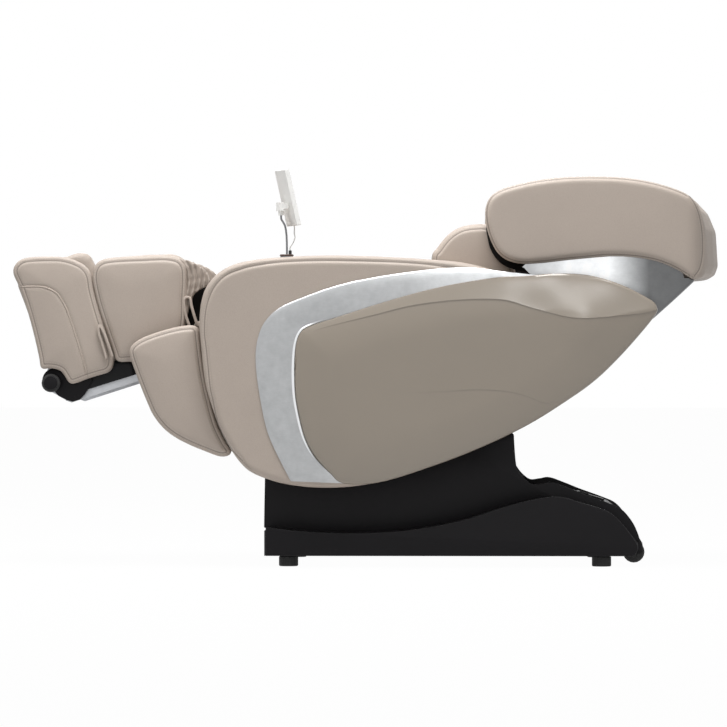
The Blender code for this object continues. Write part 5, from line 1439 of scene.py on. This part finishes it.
class CHAIR_OT_base_panels(PieceOperator):
    """Lay smooth moulded side panels over the base's cover and skirt"""

    bl_idname = "chair.base_panels"
    bl_label = "Base panels"

    def execute(self, context):
        cover = copy_of_node("base_cover", "deck_cover")
        draw_in_deck(cover)
        shade(cover, 35)
        place(cover, "base", "black_plastic", finish_named("black_plastic"), "base_cover")
        for name, stretches, inner, outer in BASE_PANELS:
            outline = [point for stretch in stretches for point in path_of(stretch, 5)]
            moulded_sides(name, "base", outline, inner, outer, 0.0025, 3, 40)
        return {"FINISHED"}


def draw_in_deck(piece):
    """Draw the cover's rear wall and the deck's rear end forward."""
    places = points_of(piece)
    x, z = places[:, 0], places[:, 2]
    wall = ramp(x, 0.30, 0.04) * ramp(x, 0.47, -0.05) * ramp(z, 0.15, 0.04)
    places[:, 0] -= DECK_WALL_SHIFT * wall + DECK_REAR_SHIFT * ramp(x, 0.61, 0.05)
    set_points(piece, places)


class CHAIR_OT_remote(PieceOperator):
    """Fit the tablet's dark screen and the flange's ring"""

    bl_idname = "chair.remote"
    bl_label = "Remote"

    def execute(self, context):
        screen = slab("tablet_screen", rounded_box(SCREEN_WIDTH, SCREEN_HEIGHT, SCREEN_CORNER),
                      SCREEN_BACK, SCREEN_FACE)
        round_rim(screen, 0.0004, 2)
        turn, tilt = REMOTE_TURN, REMOTE_TILT
        out = Vector((math.cos(tilt) * math.cos(turn), math.cos(tilt) * math.sin(turn), math.sin(tilt)))
        across = Vector((math.sin(turn), -math.cos(turn), 0.0))
        up = across.cross(out)
        hinge = REMOTE + Vector((TABLET_REACH * math.cos(turn), TABLET_REACH * math.sin(turn),
                                 HINGE_HEIGHT))
        middle = hinge + out * TABLET_THICKNESS + up * TABLET_RISE
        pose = Matrix((across, out, up)).transposed().to_4x4()
        screen.data.transform(Matrix.Translation(middle) @ pose)
        shade(screen, 40)
        glass = painted("ScreenGlass", (0.012, 0.012, 0.014), 0.12, coat=1.0, peel=0.005)
        place(screen, "tablet", "black_plastic", glass)

        circle = on_circle((FLANGE_X, REMOTE.y), FLANGE_RING_RADIUS, full_turn(48))
        ring = tube("flange_ring", [(x, y, FLANGE_HEIGHT) for x, y in circle], FLANGE_RING_THICKNESS,
                    closed=True)
        place(ring, "neck", "black_plastic", painted("FlangeRing", (0.070, 0.038, 0.030), 0.5))
        return {"FINISHED"}


def rounded_box(width, height, radius, steps=6):
    """A rounded rectangle's outline about the origin."""
    outline = []
    for corner, (right, top) in enumerate(((1, 1), (-1, 1), (-1, -1), (1, -1))):
        for step in range(steps + 1):
            turn = math.radians(90.0 * (corner + step / steps))
            outline.append((right * (width / 2 - radius) + radius * math.cos(turn),
                            top * (height / 2 - radius) + radius * math.sin(turn)))
    return outline


class CHAIR_OT_mechanism(PieceOperator):
    """Give the frame, base, wheels and remote their finishes"""

    bl_idname = "chair.mechanism"
    bl_label = "Mechanism"

    def execute(self, context):
        slots = {part["node"]: part["material_slot"] for part in frame["record"]["subparts"]}
        special = {"back_shell": silver_paint("BackShellSilver", BACK_SHELL_PAINTED_LIGHT),
                   "tablet_neck": steel("NeckChrome", (0.20, 0.20, 0.21), 0.22, 1.0)}
        for name, node in frame["nodes"].items():
            if not node.hide_render:
                node.data.materials.clear()
                node.data.materials.append(special.get(name) or finish_named(slots[name]))
        return {"FINISHED"}


class CHAIR_OT_stage(PieceOperator):
    """Set the pale floor, the white surroundings and the soft lights"""

    bl_idname = "chair.stage"
    bl_label = "Stage"

    def execute(self, context):
        deselect()
        bpy.ops.mesh.primitive_plane_add(size=1.0, location=FLOOR_MIDDLE)
        floor = bpy.context.object
        floor.name = "floor"
        floor.data.transform(Matrix.Diagonal((FLOOR_SIZE, FLOOR_SIZE, 1.0, 1.0)))
        floor.data.materials.append(floor_material())
        surroundings(context)
        for lamp in LAMPS:
            soft_light(*lamp)
        context.scene.view_settings.view_transform = "Standard"
        return {"FINISHED"}


def soft_light(name, location, target, width, height, power):
    data = bpy.data.lights.new(name, "AREA")
    data.shape = "RECTANGLE"
    data.size, data.size_y, data.energy = width, height, power
    light = bpy.data.objects.new(name, data)
    light.location = location
    light.rotation_euler = (Vector(target) - Vector(location)).to_track_quat("-Z", "Y").to_euler()
    bpy.context.scene.collection.objects.link(light)


def floor_material():
    """White where the camera looks, with the chair's soft shadow kept."""
    material = bpy.data.materials.new("PaleFloor")
    material.use_nodes = True
    tree = material.node_tree
    tree.nodes.remove(tree.nodes["Principled BSDF"])
    pale = add_node(tree, "ShaderNodeBsdfDiffuse", Color=(*[FLOOR_GREY] * 3, 1.0))
    white = add_node(tree, "ShaderNodeEmission", Color=WHITE, Strength=1.0)
    path = add_node(tree, "ShaderNodeLightPath")
    seen = signal(path, "Is Camera Ray").maths("MAXIMUM", signal(path, "Is Glossy Ray"))
    mix_shaders(tree, seen * FLOOR_WHITE_SHARE, pale, white, "Material Output")
    return material


def surroundings(context):
    """A soft grey studio that shows as white to the camera and in reflections."""
    world = bpy.data.worlds.new("studio")
    world.use_nodes = True
    tree = world.node_tree
    soft = feed_node(tree, tree.nodes["Background"], Color=WHITE, Strength=STUDIO_LEVEL)
    white = add_node(tree, "ShaderNodeBackground", Color=WHITE, Strength=1.0)
    path = add_node(tree, "ShaderNodeLightPath")
    mirrored_ray = signal(path, "Is Glossy Ray").maths("MAXIMUM", signal(path, "Is Transmission Ray"))
    seen = signal(path, "Is Camera Ray").maths("MAXIMUM", mirrored_ray)
    mix_shaders(tree, seen, soft, white, "World Output")
    context.scene.world = world


OPERATORS = (CHAIR_OT_camera, CHAIR_OT_cable, CHAIR_OT_footrest, CHAIR_OT_legrest, CHAIR_OT_arms,
             CHAIR_OT_trim, CHAIR_OT_side_shells, CHAIR_OT_hood, CHAIR_OT_back, CHAIR_OT_seat,
             CHAIR_OT_base_panels, CHAIR_OT_remote, CHAIR_OT_mechanism, CHAIR_OT_stage)


class CHAIR_PT_panel(bpy.types.Panel):
    """Lists the chair's sizes, colours and operators in the sidebar"""

    bl_idname = "CHAIR_PT_panel"
    bl_label = "Massage chair"
    bl_space_type = "VIEW_3D"
    bl_region_type = "UI"
    bl_category = "Massage chair"

    def draw(self, context):
        for group in (context.scene.chair_sizes, context.scene.chair_colours):
            for name in group.__annotations__:
                self.layout.prop(group, name)
        for operator in OPERATORS:
            self.layout.operator(operator.bl_idname)


CLASSES = (ChairSizes, ChairColours) + OPERATORS + (CHAIR_PT_panel,)


def register():
    for item in CLASSES:
        bpy.utils.register_class(item)
    bpy.types.Scene.chair_sizes = bpy.props.PointerProperty(type=ChairSizes)
    bpy.types.Scene.chair_colours = bpy.props.PointerProperty(type=ChairColours)


def unregister():
    del bpy.types.Scene.chair_colours
    del bpy.types.Scene.chair_sizes
    for item in reversed(CLASSES):
        bpy.utils.unregister_class(item)


def main():
    register()
    for operator in OPERATORS:
        getattr(bpy.ops.chair, operator.bl_idname.split(".")[1])()
    bpy.context.view_layer.update()


if __name__ == "__main__":
    main()
